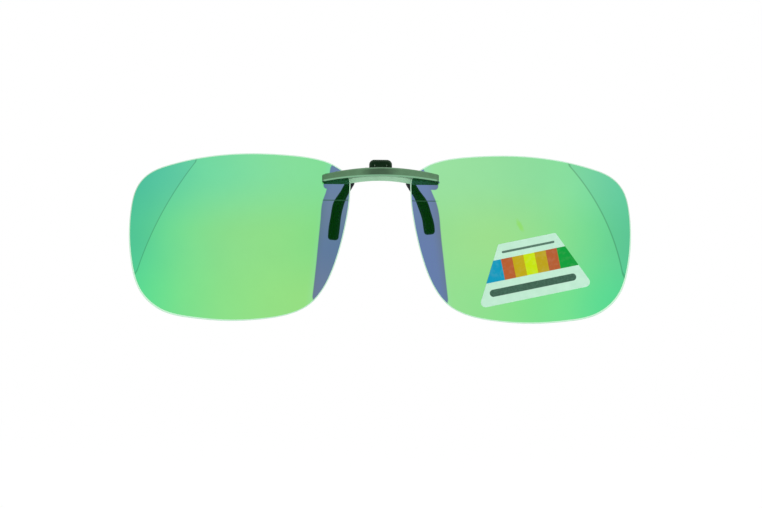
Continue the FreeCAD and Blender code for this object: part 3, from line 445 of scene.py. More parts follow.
def bar_painted_shading(place, colour):
    """Paints the opening's dark reflection, highlights on the lip and upper edge, and darker
    ends.
    """
    azimuth, elevation, _, ahead = mirrored_view()
    # painted reflection: the bar darkens where it mirrors the tent's dark opening
    waver = (noise(place, scale=0.35, detail=2.0) - 0.5) * 1.6
    clear = (abs(azimuth) + waver).fade(1.0, 3.4)
    painted_opening_reflection = (1.0 - clear) * elevation.fade(30.0, 22.0)
    normal_z = xyz(geometry("True Normal"))[2]
    painted_opening_reflection = painted_opening_reflection * (abs(normal_z).fade(0.75, 0.45) * ahead)
    colour = mix(painted_opening_reflection * 0.60, colour, (0.004, 0.024, 0.006))

    # height above the curved, slightly tilted lower edge; heights of the lip and the whole bar
    lip, full = 0.46, 2.35
    x, _, z = xyz(place)
    height = z - (x * x * -BAR_CURVE + x * 0.0085 + 1.05)
    _, normal_y, normal_z = xyz(geometry("True Normal"))
    # the rolled lower lip catches more light
    lit = height.fade(lip + 0.10, lip - 0.08) * normal_y.fade(-0.3, -0.6)
    lit = lit * abs(x).fade(15.2, 14.6)
    colour = mix(lit * 0.85, colour, (0.215, 0.46, 0.275))
    # a painted highlight along the upper edge
    upper = height.fade(full - 0.62, full - 0.10) * abs(azimuth).fade(1.8, 3.6)
    colour = mix(upper * 0.45, colour, (0.17, 0.32, 0.19))
    # a deeper tone towards the left end
    left = x.fade(-11.0, -15.0) * height.fade(lip - 0.1, lip + 0.1)
    colour = mix(left * 0.55, colour, (0.040, 0.150, 0.052))
    # painted shade darkens the cut ends, on all but their upward faces
    ends = abs(x).fade(14.95, 15.3) * normal_z.fade(0.8, 0.4)
    return mix(ends * 0.70, colour, (0.020, 0.070, 0.028))


def plate_painted_shading(place, colour):
    """Paints shadow on the strip between the lenses under the bar, and tones the front's ends.
    """
    x, _, z = xyz(place)
    height = z + x * x * BAR_CURVE
    # painted shadow under the bar, painted light towards the strip's lower edge
    painted_lit_tone = multiply(colour, (1.16, 1.16, 1.16))
    painted_shadow_tone = multiply(colour, (0.88, 0.84, 0.80))
    colour = mix(height.fade(0.95, 1.55), painted_lit_tone, painted_shadow_tone)
    across = xyz(place)[0]
    normal_y = xyz(geometry("True Normal"))[1]
    ends = abs(across).fade(8.05, 8.35) * normal_y.fade(-0.3, -0.6)
    return mix(ends, colour, (0.30, 0.68, 0.26))


def steel(name, tone, rough, axis, scratch):
    """Turned or drawn steel: fine lines across one axis, tone drift, grime in patches."""
    mat = material(name)
    place = local_mm()
    factors = [14.0 if letter == axis else 1.2 for letter in "XYZ"]
    lines_place = combine(*[part * factor for part, factor in zip(xyz(place), factors)])
    lines = noise(lines_place, scale=1.6, detail=4.0, rough=0.7)
    cloud = noise(place, scale=1.4, rough=0.6)
    bright = [tone * 1.0, tone * 1.01, tone * 0.99]
    dim = [tone * 0.62, tone * 0.63, tone * 0.60]
    grime = [tone * 0.40, tone * 0.40, tone * 0.37]
    colour = mix(lines.fade(0.35, 0.65), dim, bright)
    colour = mix(cloud.fade(0.45, 0.75) * 0.4, colour, grime)
    surface(principled(
        colour=colour, metallic=1.0, rough=lines * (0.18 * scratch) + rough,
        normal=bump(lines, strength=0.25 * scratch, depth=0.01),
    ))
    return mat


def rubber(name):
    """Moulded black rubber: matt, with a fine grain, a thin parting line and dusty specks."""
    mat = material(name)
    place = local_mm()
    y = xyz(place)[1]
    grain = noise(place, scale=7.0, detail=4.0, rough=0.6)
    cloud = noise(place, scale=0.6, rough=0.6)
    specks = voronoi(place, scale=1.35, output="Distance")
    dusty = noise(place, scale=0.9, detail=2.0).fade(0.52, 0.62)
    dust = specks.fade(0.055, 0.035) * dusty
    colour = mix(cloud.fade(0.35, 0.70), (0.0060, 0.0080, 0.0120), (0.0095, 0.0115, 0.0165))
    colour = mix(dust * 0.45, colour, (0.10, 0.11, 0.11))
    # the parting line runs along the middle of each sleeve's sides
    parting = calc("MINIMUM", abs(y), abs(y - REAR_ARM_Y)).fade(0.09, 0.02)
    normal_y = xyz(geometry("Normal"))[1]
    parting = parting * abs(normal_y).fade(0.5, 0.2)
    colour = mix(parting * 0.5, colour, (0.035, 0.042, 0.036))
    height = grain * 0.7 + noise(place, scale=26.0, detail=2.0) * 0.3
    height = height + parting * 1.5
    surface(principled(
        colour=colour, metallic=0.0, rough=grain * 0.16 + 0.44, specular=0.30, sheen=0.05,
        normal=bump(height, strength=0.35, depth=0.03),
    ))
    return mat


def tab_plastic(name):
    """Dark green-black moulded plastic: fine sparked texture, rubbed high edges."""
    mat = material(name)
    place = local_mm()
    grain = noise(place, scale=12.0, rough=0.55)
    cloud = noise(place, scale=0.9, rough=0.6)
    colour = mix(cloud.fade(0.35, 0.70), (0.0030, 0.0160, 0.0045), (0.0048, 0.0205, 0.0066))
    rub_patches = noise(place, scale=2.2, detail=4.0, rough=0.65).fade(0.40, 0.66)
    rub = geometry("Pointiness").fade(0.52, 0.58) * rub_patches
    colour = mix(rub * 0.30, colour, (0.055, 0.070, 0.056))
    # the rounded outer rim is rubbed paler
    x, y, z = xyz(place)
    over_x = outside(abs(x), TAB_HALF_WIDTH - TAB_TOP_RADIUS)
    over_z = outside(z, TAB_TOP - TAB_TOP_RADIUS)
    rim = hypot(over_x, over_z).fade(0.55, 1.00)
    rim = rim * (noise(place, scale=1.1, rough=0.6).fade(0.30, 0.60) * 0.4 + 0.6)
    colour = mix(rim * 0.75, colour, (0.034, 0.056, 0.036))
    # a painted highlight on the crests of the two small ribs
    ribs = calc("MAXIMUM", *[
        abs(x - rib).fade(0.13, 0.05) * abs(z - 4.0).fade(0.30, 0.12) for rib in TAB_RIBS
    ])
    colour = mix(ribs * y.fade(2.2, 1.9) * 0.8, colour, (0.22, 0.30, 0.22))
    surface(principled(
        colour=colour, rough=grain * 0.14 + 0.35, specular=0.14, tint=(0.5, 1.0, 0.55),
        normal=bump(grain, strength=0.22, depth=0.02),
    ))
    return mat


def nylon(name):
    mat = material(name)
    place = local_mm()
    cloud = noise(place, scale=1.6, rough=0.6)
    grain = noise(place, scale=14.0, detail=2.0)
    surface(principled(
        colour=mix(cloud.fade(0.35, 0.7), (0.74, 0.74, 0.68), (0.86, 0.86, 0.82)),
        rough=0.35, subsurface=0.3, specular=0.5,
        normal=bump(grain, strength=0.15, depth=0.01),
    ))
    return mat


# ---------------------------------------------------------------- label print
BAR_INKS = [
    (0, 142, 176), (170, 86, 42), (180, 156, 12), (186, 212, 0), (176, 150, 16),
    (168, 86, 44), (0, 146, 52),
]
BAR_PITCH = 3.0


def label_print(name):
    """Thin printed film: pale ground, a row of plain colour bars and two dark rules."""
    mat = material(name)
    place = local_mm()
    x, _, z = xyz(place)
    dx, dz = x - LABEL_X, z - LABEL_Z
    along = dx * LABEL_COS + dz * LABEL_SIN
    up = dx * -LABEL_SIN + dz * LABEL_COS
    waver = (noise(place, scale=6.0, rough=0.6) - 0.5) * 0.05
    along, up = along + waver, up + waver

    cloud = noise(place, scale=0.35, detail=4.0, rough=0.6)
    paper = mix(cloud.fade(0.35, 0.7), (0.490, 0.745, 0.590), (0.525, 0.780, 0.625))
    fibre = noise(stretch(place, (1.0, 1.0, 3.0)), scale=3.5, detail=4.0, rough=0.6)
    paper = mix(fibre.fade(0.45, 0.75) * 0.06, paper, (0.42, 0.62, 0.52))

    bars = srgb(BAR_INKS[0])
    for i, ink in enumerate(BAR_INKS[1:], start=1):
        cut = (i - len(BAR_INKS) / 2) * BAR_PITCH
        bars = mix(along.fade(cut - 0.03, cut + 0.03), bars, srgb(ink))
    patchy = noise(place, scale=0.8, rough=0.55).fade(0.42, 0.72) * 0.035
    bars = mix(patchy, bars, (0.70, 0.80, 0.60))
    band = up.fade(-1.75, -1.69) * up.fade(3.87, 3.81)
    colour = mix(band, paper, bars)

    def rule(height, start, end, half_width):
        """A bar with round ends about a middle line."""
        beyond = calc("MAXIMUM", start - along, along - end)
        distance = hypot(calc("MAXIMUM", beyond, 0.0), up - height)
        return distance.fade(half_width + 0.03, half_width - 0.03)

    thin = rule(height=5.55, start=-6.6, end=7.0, half_width=0.30)
    thick = rule(height=-4.55, start=-11.2, end=10.2, half_width=0.95)
    blotches = noise(place, scale=2.2, detail=4.0, rough=0.6)
    ink = mix(blotches.fade(0.3, 0.7), srgb((34, 70, 54)), srgb((52, 92, 74)))
    colour = mix(thin * 0.88, colour, ink)
    colour = mix(thick * 0.96, colour, ink)
    printed = calc("MAXIMUM", band, calc("MAXIMUM", thin, thick))

    wrinkle = noise(place, scale=0.55, detail=4.0, rough=0.55)
    film = principled(
        colour=colour, rough=noise(place, scale=3.0) * 0.18 + 0.30, specular=0.10,
        normal=bump(fibre * 0.25 + wrinkle, strength=0.10, depth=0.04),
        # the film glows faintly in its own colour: painted light
        glow=colour, glow_strength=0.10,
    )
    # the bare ground is a little clearer than the print
    cover = signal("ShaderNodeMix", {0: printed, 2: 0.86, 3: 0.97}, data_type="FLOAT")
    surface(mix_shaders(cover, transparent(), film))
    return mat


# ---------------------------------------------------------------- lens materials
GRADIENT_WIDTH = 70.0

# Three gradients per lens: (height, [(distance from the centre plane, sRGB)])
ROWS_LEFT = [
    (1.0, [(12, (130, 222, 152)), (24, (135, 222, 155)), (34, (128, 221, 160)),
           (44, (116, 217, 162)), (54, (97, 205, 162)), (64, (76, 192, 158))]),
    (-17.0, [(12, (130, 220, 134)), (26, (145, 222, 136)), (38, (142, 221, 140)),
             (47, (130, 220, 143)), (56, (107, 216, 148)), (64, (82, 200, 149))]),
    (-34.0, [(12, (150, 223, 130)), (28, (149, 223, 132)), (42, (140, 225, 138)),
             (52, (122, 223, 141)), (60, (98, 220, 145)), (66, (84, 214, 148))]),
]
ROWS_RIGHT = [
    (1.0, [(12, (155, 226, 162)), (26, (152, 223, 158)), (40, (142, 221, 157)),
           (50, (132, 219, 159)), (58, (117, 212, 162)), (66, (98, 204, 160))]),
    (-17.0, [(12, (149, 222, 147)), (26, (160, 224, 143)), (38, (153, 222, 142)),
             (48, (133, 221, 146)), (57, (108, 214, 146)), (65, (94, 200, 149))]),
    (-34.0, [(12, (150, 223, 146)), (25, (147, 223, 145)), (37, (132, 225, 138)),
             (50, (114, 223, 145)), (58, (89, 217, 147)), (66, (84, 210, 147))]),
]


def coating_colour(place, across, height, rows):
    """The coating's colour bands, with a slow waver and drift."""
    waver = (noise(place, scale=0.045, rough=0.55) - 0.5) * 0.035
    share = across / GRADIENT_WIDTH + waver
    bands = [
        ramp(share, [(distance / GRADIENT_WIDTH, srgb(colour)) for distance, colour in stops])
        for _, stops in rows
    ]
    colour = bands[0]
    for i in range(1, len(rows)):
        colour = mix(height.fade(rows[i - 1][0], rows[i][0]), colour, bands[i])
    drift = noise(place, scale=0.11, detail=4.0, rough=0.6) * 0.05 + 0.975
    return multiply(colour, combine(drift, drift, drift))


def glue_smear(place, x, z, colour, smear):
    """Yellows an ellipse with a ragged edge."""
    cos, sin = math.cos(math.radians(smear["tilt"])), math.sin(math.radians(smear["tilt"]))
    dx, dz = x - smear["x"], z - smear["z"]
    half_length, half_width = smear["half_length"], smear["half_width"]
    along = dx * (cos / half_length) + dz * (sin / half_length)
    aside = dx * (-sin / half_width) + dz * (cos / half_width)
    distance = hypot(along, aside) + (noise(place, scale=0.9, rough=0.6) - 0.5) * 0.7
    return mix(distance.fade(1.15, 0.35), colour, multiply(colour, (0.93, 0.99, 0.60)))


def tent_seams(direction, ahead):
    """Painted reflection of the tent's two sewn joints: a tone step and a dark line."""
    x, y, _ = xyz(direction)
    steps, lines = [], []
    for normal, offset, side in SEAMS:
        beyond = (dot(direction, normal) - offset) * -side
        step = calc("SIGN", beyond) * abs(beyond).fade(0.16, 0.0, "LINEAR")
        steps.append(step * ((x * side).fade(0.40, 0.50) * y.fade(-0.45, -0.6)))
        line = abs(dot(direction, normal) - offset).fade(0.0017, 0.0004) * ahead
        lines.append(line * ((x * side).fade(0.45, 0.50) * y.fade(-0.5, -0.6)))
    return (steps[0] + steps[1]) * ahead, calc("MAXIMUM", *lines)


def lens_front(name, rows, nasal_start, nasal_slope, nasal_high, nasal_deep, smear=None):
    """Green mirror coating over a grey-blue tint, with painted reflections of a light tent.

    The nasal edge zone ends at nasal_start, shifting by nasal_slope per millimetre down;
    nasal_high and nasal_deep are the shares it lets through high up and low down.
    """
    mat = material(name)
    place = local_mm()
    x, _, z = xyz(place)
    across = abs(x)
    height = z - LIP_RISE
    total = coating_colour(place, across, height, rows)
    if smear is not None:
        total = glue_smear(place, x, z, total, smear)

    def thrown_back(shares):
        return (1.0 - shares[0], 1.0 - shares[1], 0.0)

    # share that passes through the tint, and share that the coating throws back
    nasal = (across - (nasal_start + height * -nasal_slope)).fade(2.0, -1.5)
    by_height = height.fade(-6.0, -20.0)
    nasal_through = mix(by_height, nasal_high, nasal_deep)
    nasal_back = mix(by_height, thrown_back(nasal_high), thrown_back(nasal_deep))
    through = multiply(total, mix(nasal, (0.44, 0.225, 1.0), nasal_through))
    back = multiply(total, mix(nasal, (0.56, 0.775, 0.0), nasal_back))

    # towards grazing angles every coating turns into a plain pale mirror
    facing = signal("ShaderNodeLayerWeight", {"Blend": 0.5}, output="Facing")
    graze = facing ** 4.0 * 0.75
    back = mix(graze, back, (0.80, 0.90, 0.86))
    through = mix(graze, through, (0.03, 0.04, 0.06))

    # seen from the side and from behind, the coating hides more of what lies behind the lens
    azimuth, elevation, parts, ahead = mirrored_view()
    kept = multiply(through, (0.42, 0.42, 0.55))
    back_side = mix(1.0, back, multiply(through, (0.58, 0.58, 0.45)), "ADD")
    through = mix(ahead, kept, through)
    back = mix(ahead, back_side, back)

    # where the white tent is mirrored, the blue share is thrown back too
    gap = opening(azimuth, elevation) * ahead
    back_tent = mix(1.0, back, multiply(through, (0.0, 0.0, 0.55)), "ADD")
    back = mix(gap, back_tent, back)
    through = mix(gap, multiply(through, (1.0, 1.0, 0.45)), through)
    # painted reflection of the tent's dark opening: the mirror's colour darkens nearly to black
    back = mix(gap, back, multiply(back, (0.008, 0.056, 0.10)))

    # painted reflections of the tent's joints, and of a cord across its opening
    black = (0.0, 0.0, 0.0)
    step, seam = tent_seams(combine(*parts), ahead)
    back = multiply(back, combine(step * 0.12 + 1.0, step * 0.055 + 1.0, 1.0))
    cord = abs(elevation - 6.17).fade(0.13, 0.04) * abs(azimuth).fade(9.5, 9.1)
    cord = cord * ahead
    through = mix(seam * 0.34, through, black)
    back = mix(seam * 0.34, back, black)
    through = mix(cord * 0.72, through, black)

    inside = geometry("Backfacing")
    back = mix(inside, back, (0.035, 0.045, 0.045))
    marks = noise(stretch(place, (0.5, 0.5, 3.2)), scale=1.8, detail=6.0, rough=0.75)
    mirror = glossy(
        colour=back, rough=marks.fade(0.55, 0.80) * 0.02 + 0.006, normal=lens_waves(place)
    )
    # the cord's painted reflection glows faintly
    painted_cord_reflection = emission((0.020, 0.052, 0.036), strength=cord * (1.0 - inside))
    surface(add_shaders(add_shaders(mirror, transparent(through)), painted_cord_reflection))
    return mat


def lens_waves(place):
    """Normal of the lenses' very shallow, slow unevenness."""
    waves = noise(place, scale=0.10, detail=2.0, rough=0.4)
    return bump(waves, strength=0.06, depth=0.02)


def lens_back(name):
    """The uncoated rear face: clear, with a weak grey shine when seen from behind."""
    mat = material(name)
    place = local_mm()
    fresnel = signal("ShaderNodeFresnel", {"IOR": 1.5})
    smear = noise(place, scale=0.12, detail=5.0, rough=0.65).fade(0.40, 0.75)
    outer = 1.0 - geometry("Backfacing")
    # straight on, the shine of the white tent is painted on as an even glow; towards grazing
    # angles it is a true reflection
    veil_limit = 0.20
    reflection = outer * outside(fresnel, veil_limit)
    painted_shine = outer * calc("MINIMUM", fresnel, veil_limit) * (smear * 0.3 + 0.9)
    shine = glossy(
        colour=(0.9, 0.95, 1.0), rough=smear * 0.05 + 0.01, normal=lens_waves(place)
    )
    clear = mix_shaders(reflection, transparent(), shine)
    surface(add_shaders(clear, emission((0.90, 0.95, 1.0), strength=painted_shine)))
    return mat


def lens_rim(name):
    """The ground and polished edge: pale where the bevel catches light, greener in the wall."""
    mat = material(name)
    place = local_mm()
    normal_y = xyz(geometry("Normal"))[1]
    grind = noise(stretch(place, (1.0, 9.0, 1.0)), scale=1.3, detail=4.0, rough=0.6)
    wall, pale = srgb((112, 176, 138)), srgb((196, 240, 208))
    colour = mix(abs(normal_y).fade(0.25, 0.75), wall, pale)
    colour = mix(grind.fade(0.4, 0.7) * 0.18, colour, (0.25, 0.42, 0.33))
    surface(principled(
        colour=colour, rough=grind * 0.15 + 0.12, specular=0.6, coat=0.4, coat_rough=0.08,
        normal=bump(grind, strength=0.12, depth=0.01),
    ))
    return mat


MATERIALS = {
    "bar": metal_lacquer(
        "bar_lacquer", dark=(0.078, 0.186, 0.088), light=(0.098, 0.224, 0.112), rough=0.42,
        bare=(0.30, 0.44, 0.32), metallic=0.50, wear=0.30, tones=bar_painted_shading,
    ),
    # pale lacquer: its own colour, made paler with painted light for the light the strip catches
    # from below
    "plate": metal_lacquer(
        "plate_lacquer", dark=(0.300, 0.530, 0.350), light=(0.340, 0.590, 0.395), rough=0.36,
        bare=(0.44, 0.62, 0.48), metallic=0.40, wear=0.30, tones=plate_painted_shading,
    ),
    "clip": metal_lacquer(
        "clip_gunmetal", dark=(0.035, 0.045, 0.035), light=(0.060, 0.072, 0.058), rough=0.34,
        bare=(0.38, 0.40, 0.37), metallic=0.80, wear=0.55, edge_radius=0.08,
    ),
    "screw": steel("turned_steel", tone=0.52, rough=0.20, axis="Y", scratch=0.6),
    "pin": steel("drawn_pin_steel", tone=0.50, rough=0.22, axis="X", scratch=0.6),
    "spring": steel("spring_wire_steel", tone=0.46, rough=0.16, axis="X", scratch=0.3),
    "leaf": steel("leaf_spring_steel", tone=0.42, rough=0.20, axis="Z", scratch=0.5),
    "bush": nylon("bush_nylon"),
    "rubber": rubber("sleeve_rubber"),
    "tab": tab_plastic("tab_plastic"),
    "label": label_print("label_print"),
}


# ---------------------------------------------------------------- mesh helpers
class Loft:
    """A skin over rings of equally many points, each joined to the one before it."""

    def __init__(self):
        self.verts, self.faces, self.slots = [], [], []
        self.latest = 0  # index of the first point of the latest ring
        self.count = 0  # points in a ring

    def face(self, corners, slot):
        self.faces.append(corners)
        self.slots.append(slot)

    def ring(self, points, slot=0):
        start, self.count = len(self.verts), len(points)
        self.verts.extend(points)
        for i in range(self.count):
            j = (i + 1) % self.count
            if start == 1:  # the first ring round a hub
                self.face((0, start + i, start + j), slot)
            elif start > 1:
                self.face((self.latest + i, self.latest + j, start + j, start + i), slot)
        self.latest = start

    def hub(self, point, slot=0):
        """A middle point: the first point of all, or the one that closes the latest ring."""
        hub = len(self.verts)
        self.verts.append(point)
        if hub:
            for i in range(self.count):
                j = (i + 1) % self.count
                self.face((hub, self.latest + j, self.latest + i), slot)

    def cap(self, start, reverse=False):
        corners = tuple(range(start, start + self.count))
        self.face(corners[::-1] if reverse else corners, 0)

    def build(self, name, replaced, materials, crease):
        """Makes the object in place of a CAD node; crease is the sharp angle in degrees."""
        mesh = bpy.data.meshes.new(name)
        verts = [tuple(float(part) * MM for part in vert) for vert in self.verts]
        mesh.from_pydata(verts, [], self.faces)
        mesh.validate()
        mesh.update()
        for mat in materials:
            mesh.materials.append(mat)
        if len(materials) > 1:
            mesh.polygons.foreach_set("material_index", self.slots)
        bm = bmesh.new()
        bm.from_mesh(mesh)
        bmesh.ops.recalc_face_normals(bm, faces=bm.faces)
        bm.to_mesh(mesh)
        bm.free()
        shade_smooth(mesh, crease)
        ob = bpy.data.objects.new(name, mesh)
        bpy.context.scene.collection.objects.link(ob)
        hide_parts(replaced)
        return ob


def shade_smooth(mesh, crease):
    mesh.polygons.foreach_set("use_smooth", [True] * len(mesh.polygons))
    mesh.set_sharp_from_angle(angle=math.radians(crease))


def evenly(points, count, closed):
    """The line resampled at even steps, and its length."""
    if closed:
        points = np.vstack([points, points[:1]])
    steps = np.linalg.norm(np.diff(points, axis=0), axis=1)
    run = np.concatenate([[0], np.cumsum(steps)])
    wanted = np.linspace(0, run[-1], count, endpoint=not closed)
    return np.stack([np.interp(wanted, run, column) for column in points.T], 1), run[-1]


def spline(points, count, closed):
    """Cubic spline by chord length, natural at open ends, sampled evenly; and its length."""
    points = np.array(points, float)
    knots = len(points)
    spans = np.linalg.norm(np.roll(points, -1, 0) - points, axis=1)
    matrix = np.eye(knots)
    pull = np.zeros(points.shape)
    for i in range(knots) if closed else range(1, knots - 1):
        j = (i + 1) % knots
        before, after = spans[i - 1], spans[i]
        matrix[i, i - 1], matrix[i, i], matrix[i, j] = before, 2 * (before + after), after
        pull[i] = 6 * ((points[j] - points[i]) / after - (points[i] - points[i - 1]) / before)
    bends = np.linalg.solve(matrix, pull)
    pieces = []
    for i in range(knots if closed else knots - 1):
        j = (i + 1) % knots
        span = spans[i]
        at_end = not closed and i == knots - 2
        shares = np.linspace(0, 1, 40 if closed else 60, endpoint=at_end)
        gone = shares[:, None] * span
        left = span - gone
        pieces.append(
            bends[i] * left**3 / (6 * span) + bends[j] * gone**3 / (6 * span)
            + (points[i] / span - bends[i] * span / 6) * left
            + (points[j] / span - bends[j] * span / 6) * gone
        )
    return evenly(np.vstack(pieces), count, closed)


def outward(outline):
    """Unit outward normals of a closed flat outline."""
    following = np.roll(outline, -1, 0)
    tangents = following - np.roll(outline, 1, 0)
    tangents /= np.linalg.norm(tangents, axis=1)[:, None]
    area = 0.5 * np.sum(outline[:, 0] * following[:, 1] - following[:, 0] * outline[:, 1])
    normals = np.stack([tangents[:, 1], -tangents[:, 0]], 1)
    return normals if area > 0 else -normals


def rounded_rect(half_width, low, high, low_radius, high_radius, count):
    """Closed rounded rectangle, counter-clockwise, with count points on each corner."""
    points = []
    for side, edge, radius, inward, start in (
        (1, high, high_radius, -1, 0), (-1, high, high_radius, -1, 90),
        (-1, low, low_radius, 1, 180), (1, low, low_radius, 1, 270),
    ):
        angles = np.radians(np.linspace(start, start + 90, count))
        x, y = side * (half_width - radius), edge + inward * radius
        points.append(
            np.column_stack([x + radius * np.cos(angles), y + radius * np.sin(angles)])
        )
    return np.vstack(points)


# ---------------------------------------------------------------- lenses
def lens(side, sign, materials):
    """A lens with front face, ground edge and rear face in material slots 0, 1 and 2."""
    outline, _ = spline([(x, z + LIP_RISE) for x, z in OUTLINE], count=420, closed=True)
    normals = outward(outline)
    # the ground bevel is widest at the lower outer corner
    outer = np.clip((outline[:, 0] - 20.0) / 45.0, 0, 1)
    low = np.clip((-6.0 - outline[:, 1]) / 28.0, 0, 1)
    inner = outline - normals * (0.24 + 0.26 * outer * low)[:, None]
    middle = np.array([36.7, LENS_CENTRE_Z])
    back_radius = LENS_RADIUS - LENS_THICKNESS
    shares = np.linspace(0, 1, 34)[1:]
    loft = Loft()

    def face_hub(radius, slot):
        x, z = middle
        loft.hub((sign * x, lens_y(x, z, radius), z), slot)

    def face_ring(share, radius, slot):
        x, z = (middle + (inner - middle) * share).T
        loft.ring(np.column_stack([sign * x, lens_y(x, z, radius), z]), slot)

    face_hub(LENS_RADIUS, slot=0)
    for share in shares:
        face_ring(share, LENS_RADIUS, slot=0)
    # front bevel, wall with a slight crown, rear bevel: (share of thickness, push outwards)
    front = lens_y(*outline.T, LENS_RADIUS)
    back = lens_y(*outline.T, back_radius)
    for depth, push in ((0.16, -0.06), (0.30, 0.0), (0.5, 0.015), (0.70, 0.0), (0.84, -0.06)):
        x, z = (outline + normals * push).T
        loft.ring(np.column_stack([sign * x, front + (back - front) * depth, z]), slot=1)
    for share in shares[::-1]:
        face_ring(share, back_radius, slot=1 if share == shares[-1] else 2)
    face_hub(back_radius, slot=2)
    node_name = side + "_lens"
    ob = loft.build(node_name + "_visual", node_name, materials, crease=18.0)
    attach(ob, "lens_frame")


rim_material = lens_rim("lens_edge_polish")
back_material = lens_back("lens_rear_face")
left_front = lens_front(
    "lens_mirror_left", ROWS_LEFT, nasal_start=13.5, nasal_slope=0.13,
    nasal_high=(0.64, 0.272, 1.24), nasal_deep=(0.49, 0.236, 1.42),
)
lens("left", -1, [left_front, rim_material, back_material])
right_front = lens_front(
    "lens_mirror_right", ROWS_RIGHT, nasal_start=12.5, nasal_slope=0.15,
    nasal_high=(0.47, 0.262, 1.24), nasal_deep=(0.44, 0.244, 1.42),
    smear={"x": 36.75, "z": -11.5, "tilt": -60.0, "half_length": 2.0, "half_width": 0.75},
)
lens("right", 1, [right_front, rim_material, back_material])


# ---------------------------------------------------------------- rubber sleeves
def sleeve(node_name, body, arm, sign, y_middle, half_width, shorter):
    """A hollow-mouthed sleeve along an arm, ending short of the arm line by shorter."""
    half_depth, corner = 1.30, 0.80
    tip_radius, mouth_radius = 0.86, 0.28
    line, length = spline([(sign * x, z) for x, z in arm], count=400, closed=False)
    total = length - shorter
    last = len(line) - 1
    loft = Loft()

    def ring(run, width, depth, radius):
        """Adds a cross-section at a distance along the line; width and depth are halves."""
        spot = max(0.0, min(run / length, 1.0)) * last
        i = min(int(spot), last - 1)
        centre = line[i] * (1 - (spot - i)) + line[i + 1] * (spot - i)
        ahead = line[min(i + 3, last)] - line[max(i - 2, 0)]
        ahead = ahead / np.linalg.norm(ahead)
        radius = min(radius, width - 1e-4, depth - 1e-4)
        across, back = rounded_rect(width, -depth, depth, radius, radius, count=12).T
        x, z = centre[0] - ahead[1] * across, centre[1] + ahead[0] * across
        loft.ring(np.column_stack([x, y_middle + back, z]))

    # bore, from its closed inner end out to the mouth
    ring(2.2, 0.66, 0.42, 0.12)
    loft.cap(0)
    for section in ((0.5, 0.67, 0.43, 0.12), (0.10, 0.70, 0.46, 0.14), (0.0, 0.80, 0.55, 0.2)):
        ring(*section)

    # outside, from the mouth down to the tip: (distance along, shrink)
    stations = []
    for angle in np.radians(np.linspace(90, 0, 7)):
        stations.append((mouth_radius * (1 - math.sin(angle)),
                         mouth_radius * (1 - math.cos(angle))))
    for run in np.linspace(mouth_radius, total - tip_radius, 46)[1:-1]:
        stations.append((run, 0.0))
    for angle in np.radians(np.linspace(0, 90, 12)):
        stations.append((total - tip_radius + tip_radius * math.sin(angle),
                         tip_radius * (1 - math.cos(angle))))
    for run, shrink in stations:
        # a slight waver and a swell near the tip, and a narrower upper part
        swell = 0.05 * math.exp(-(((run - total + 2.0) / 1.6) ** 2))
        wave = (0.03 * math.sin(run * 1.1 + y_middle) + swell) * (1 if shrink == 0 else 0.6)
        widening = min(max((run - 3.0) / 4.6, 0.0), 1.0)
        neck = 0.31 * (1.0 - widening**2 * (3.0 - 2.0 * widening))
        radius = max(corner - shrink * 0.6, 0.15)
        ring(run, half_width - neck - shrink + wave, half_depth - shrink, radius)
    for share in (0.66, 0.33):
        ring(total, (half_width - tip_radius) * share, (half_depth - tip_radius) * share, 0.3)
    loft.cap(loft.latest, reverse=True)
    ob = loft.build(
        node_name + "_visual", node_name, [MATERIALS["rubber"]], crease=50.0
    )
    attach(ob, body)


for row, body, y_middle, half_width, shorter in (
    ("front", "clip_body", 0.0, 1.42, 0.0), ("rear", "rear_jaw", REAR_ARM_Y, 1.30, 0.7),
):
    for side, arm, sign in (("left", ARM_LEFT, -1), ("right", ARM_RIGHT, 1)):
        sleeve(f"{row}_{side}_sleeve", body, arm, sign, y_middle, half_width, shorter)


# ---------------------------------------------------------------- thumb tab
def tab_front_relief(x, z):
    """A shallow thumb dish, and two short upright ribs low down on the front face."""
    dish = 0.10 * np.exp(-((x / 2.0) ** 2) - ((z - 4.35) / 0.75) ** 2)
    ribs = sum(0.16 * np.exp(-(((x - rib) / 0.13) ** 4)) for rib in TAB_RIBS)
    return dish - ribs * np.clip((4.62 - z) / 0.14, 0, 1)


def tab_rear_relief(x, z):
    """Grip ridges across the rear face, cut inwards."""
    inside = np.clip((2.5 - np.abs(x)) / 0.3, 0, 1)
    inside = inside * np.clip((z - 3.5) / 0.15, 0, 1) * np.clip((5.05 - z) / 0.15, 0, 1)
    return -inside * 0.13 * (0.5 + 0.5 * np.cos((z - 3.5) / 0.42 * 2 * math.pi))


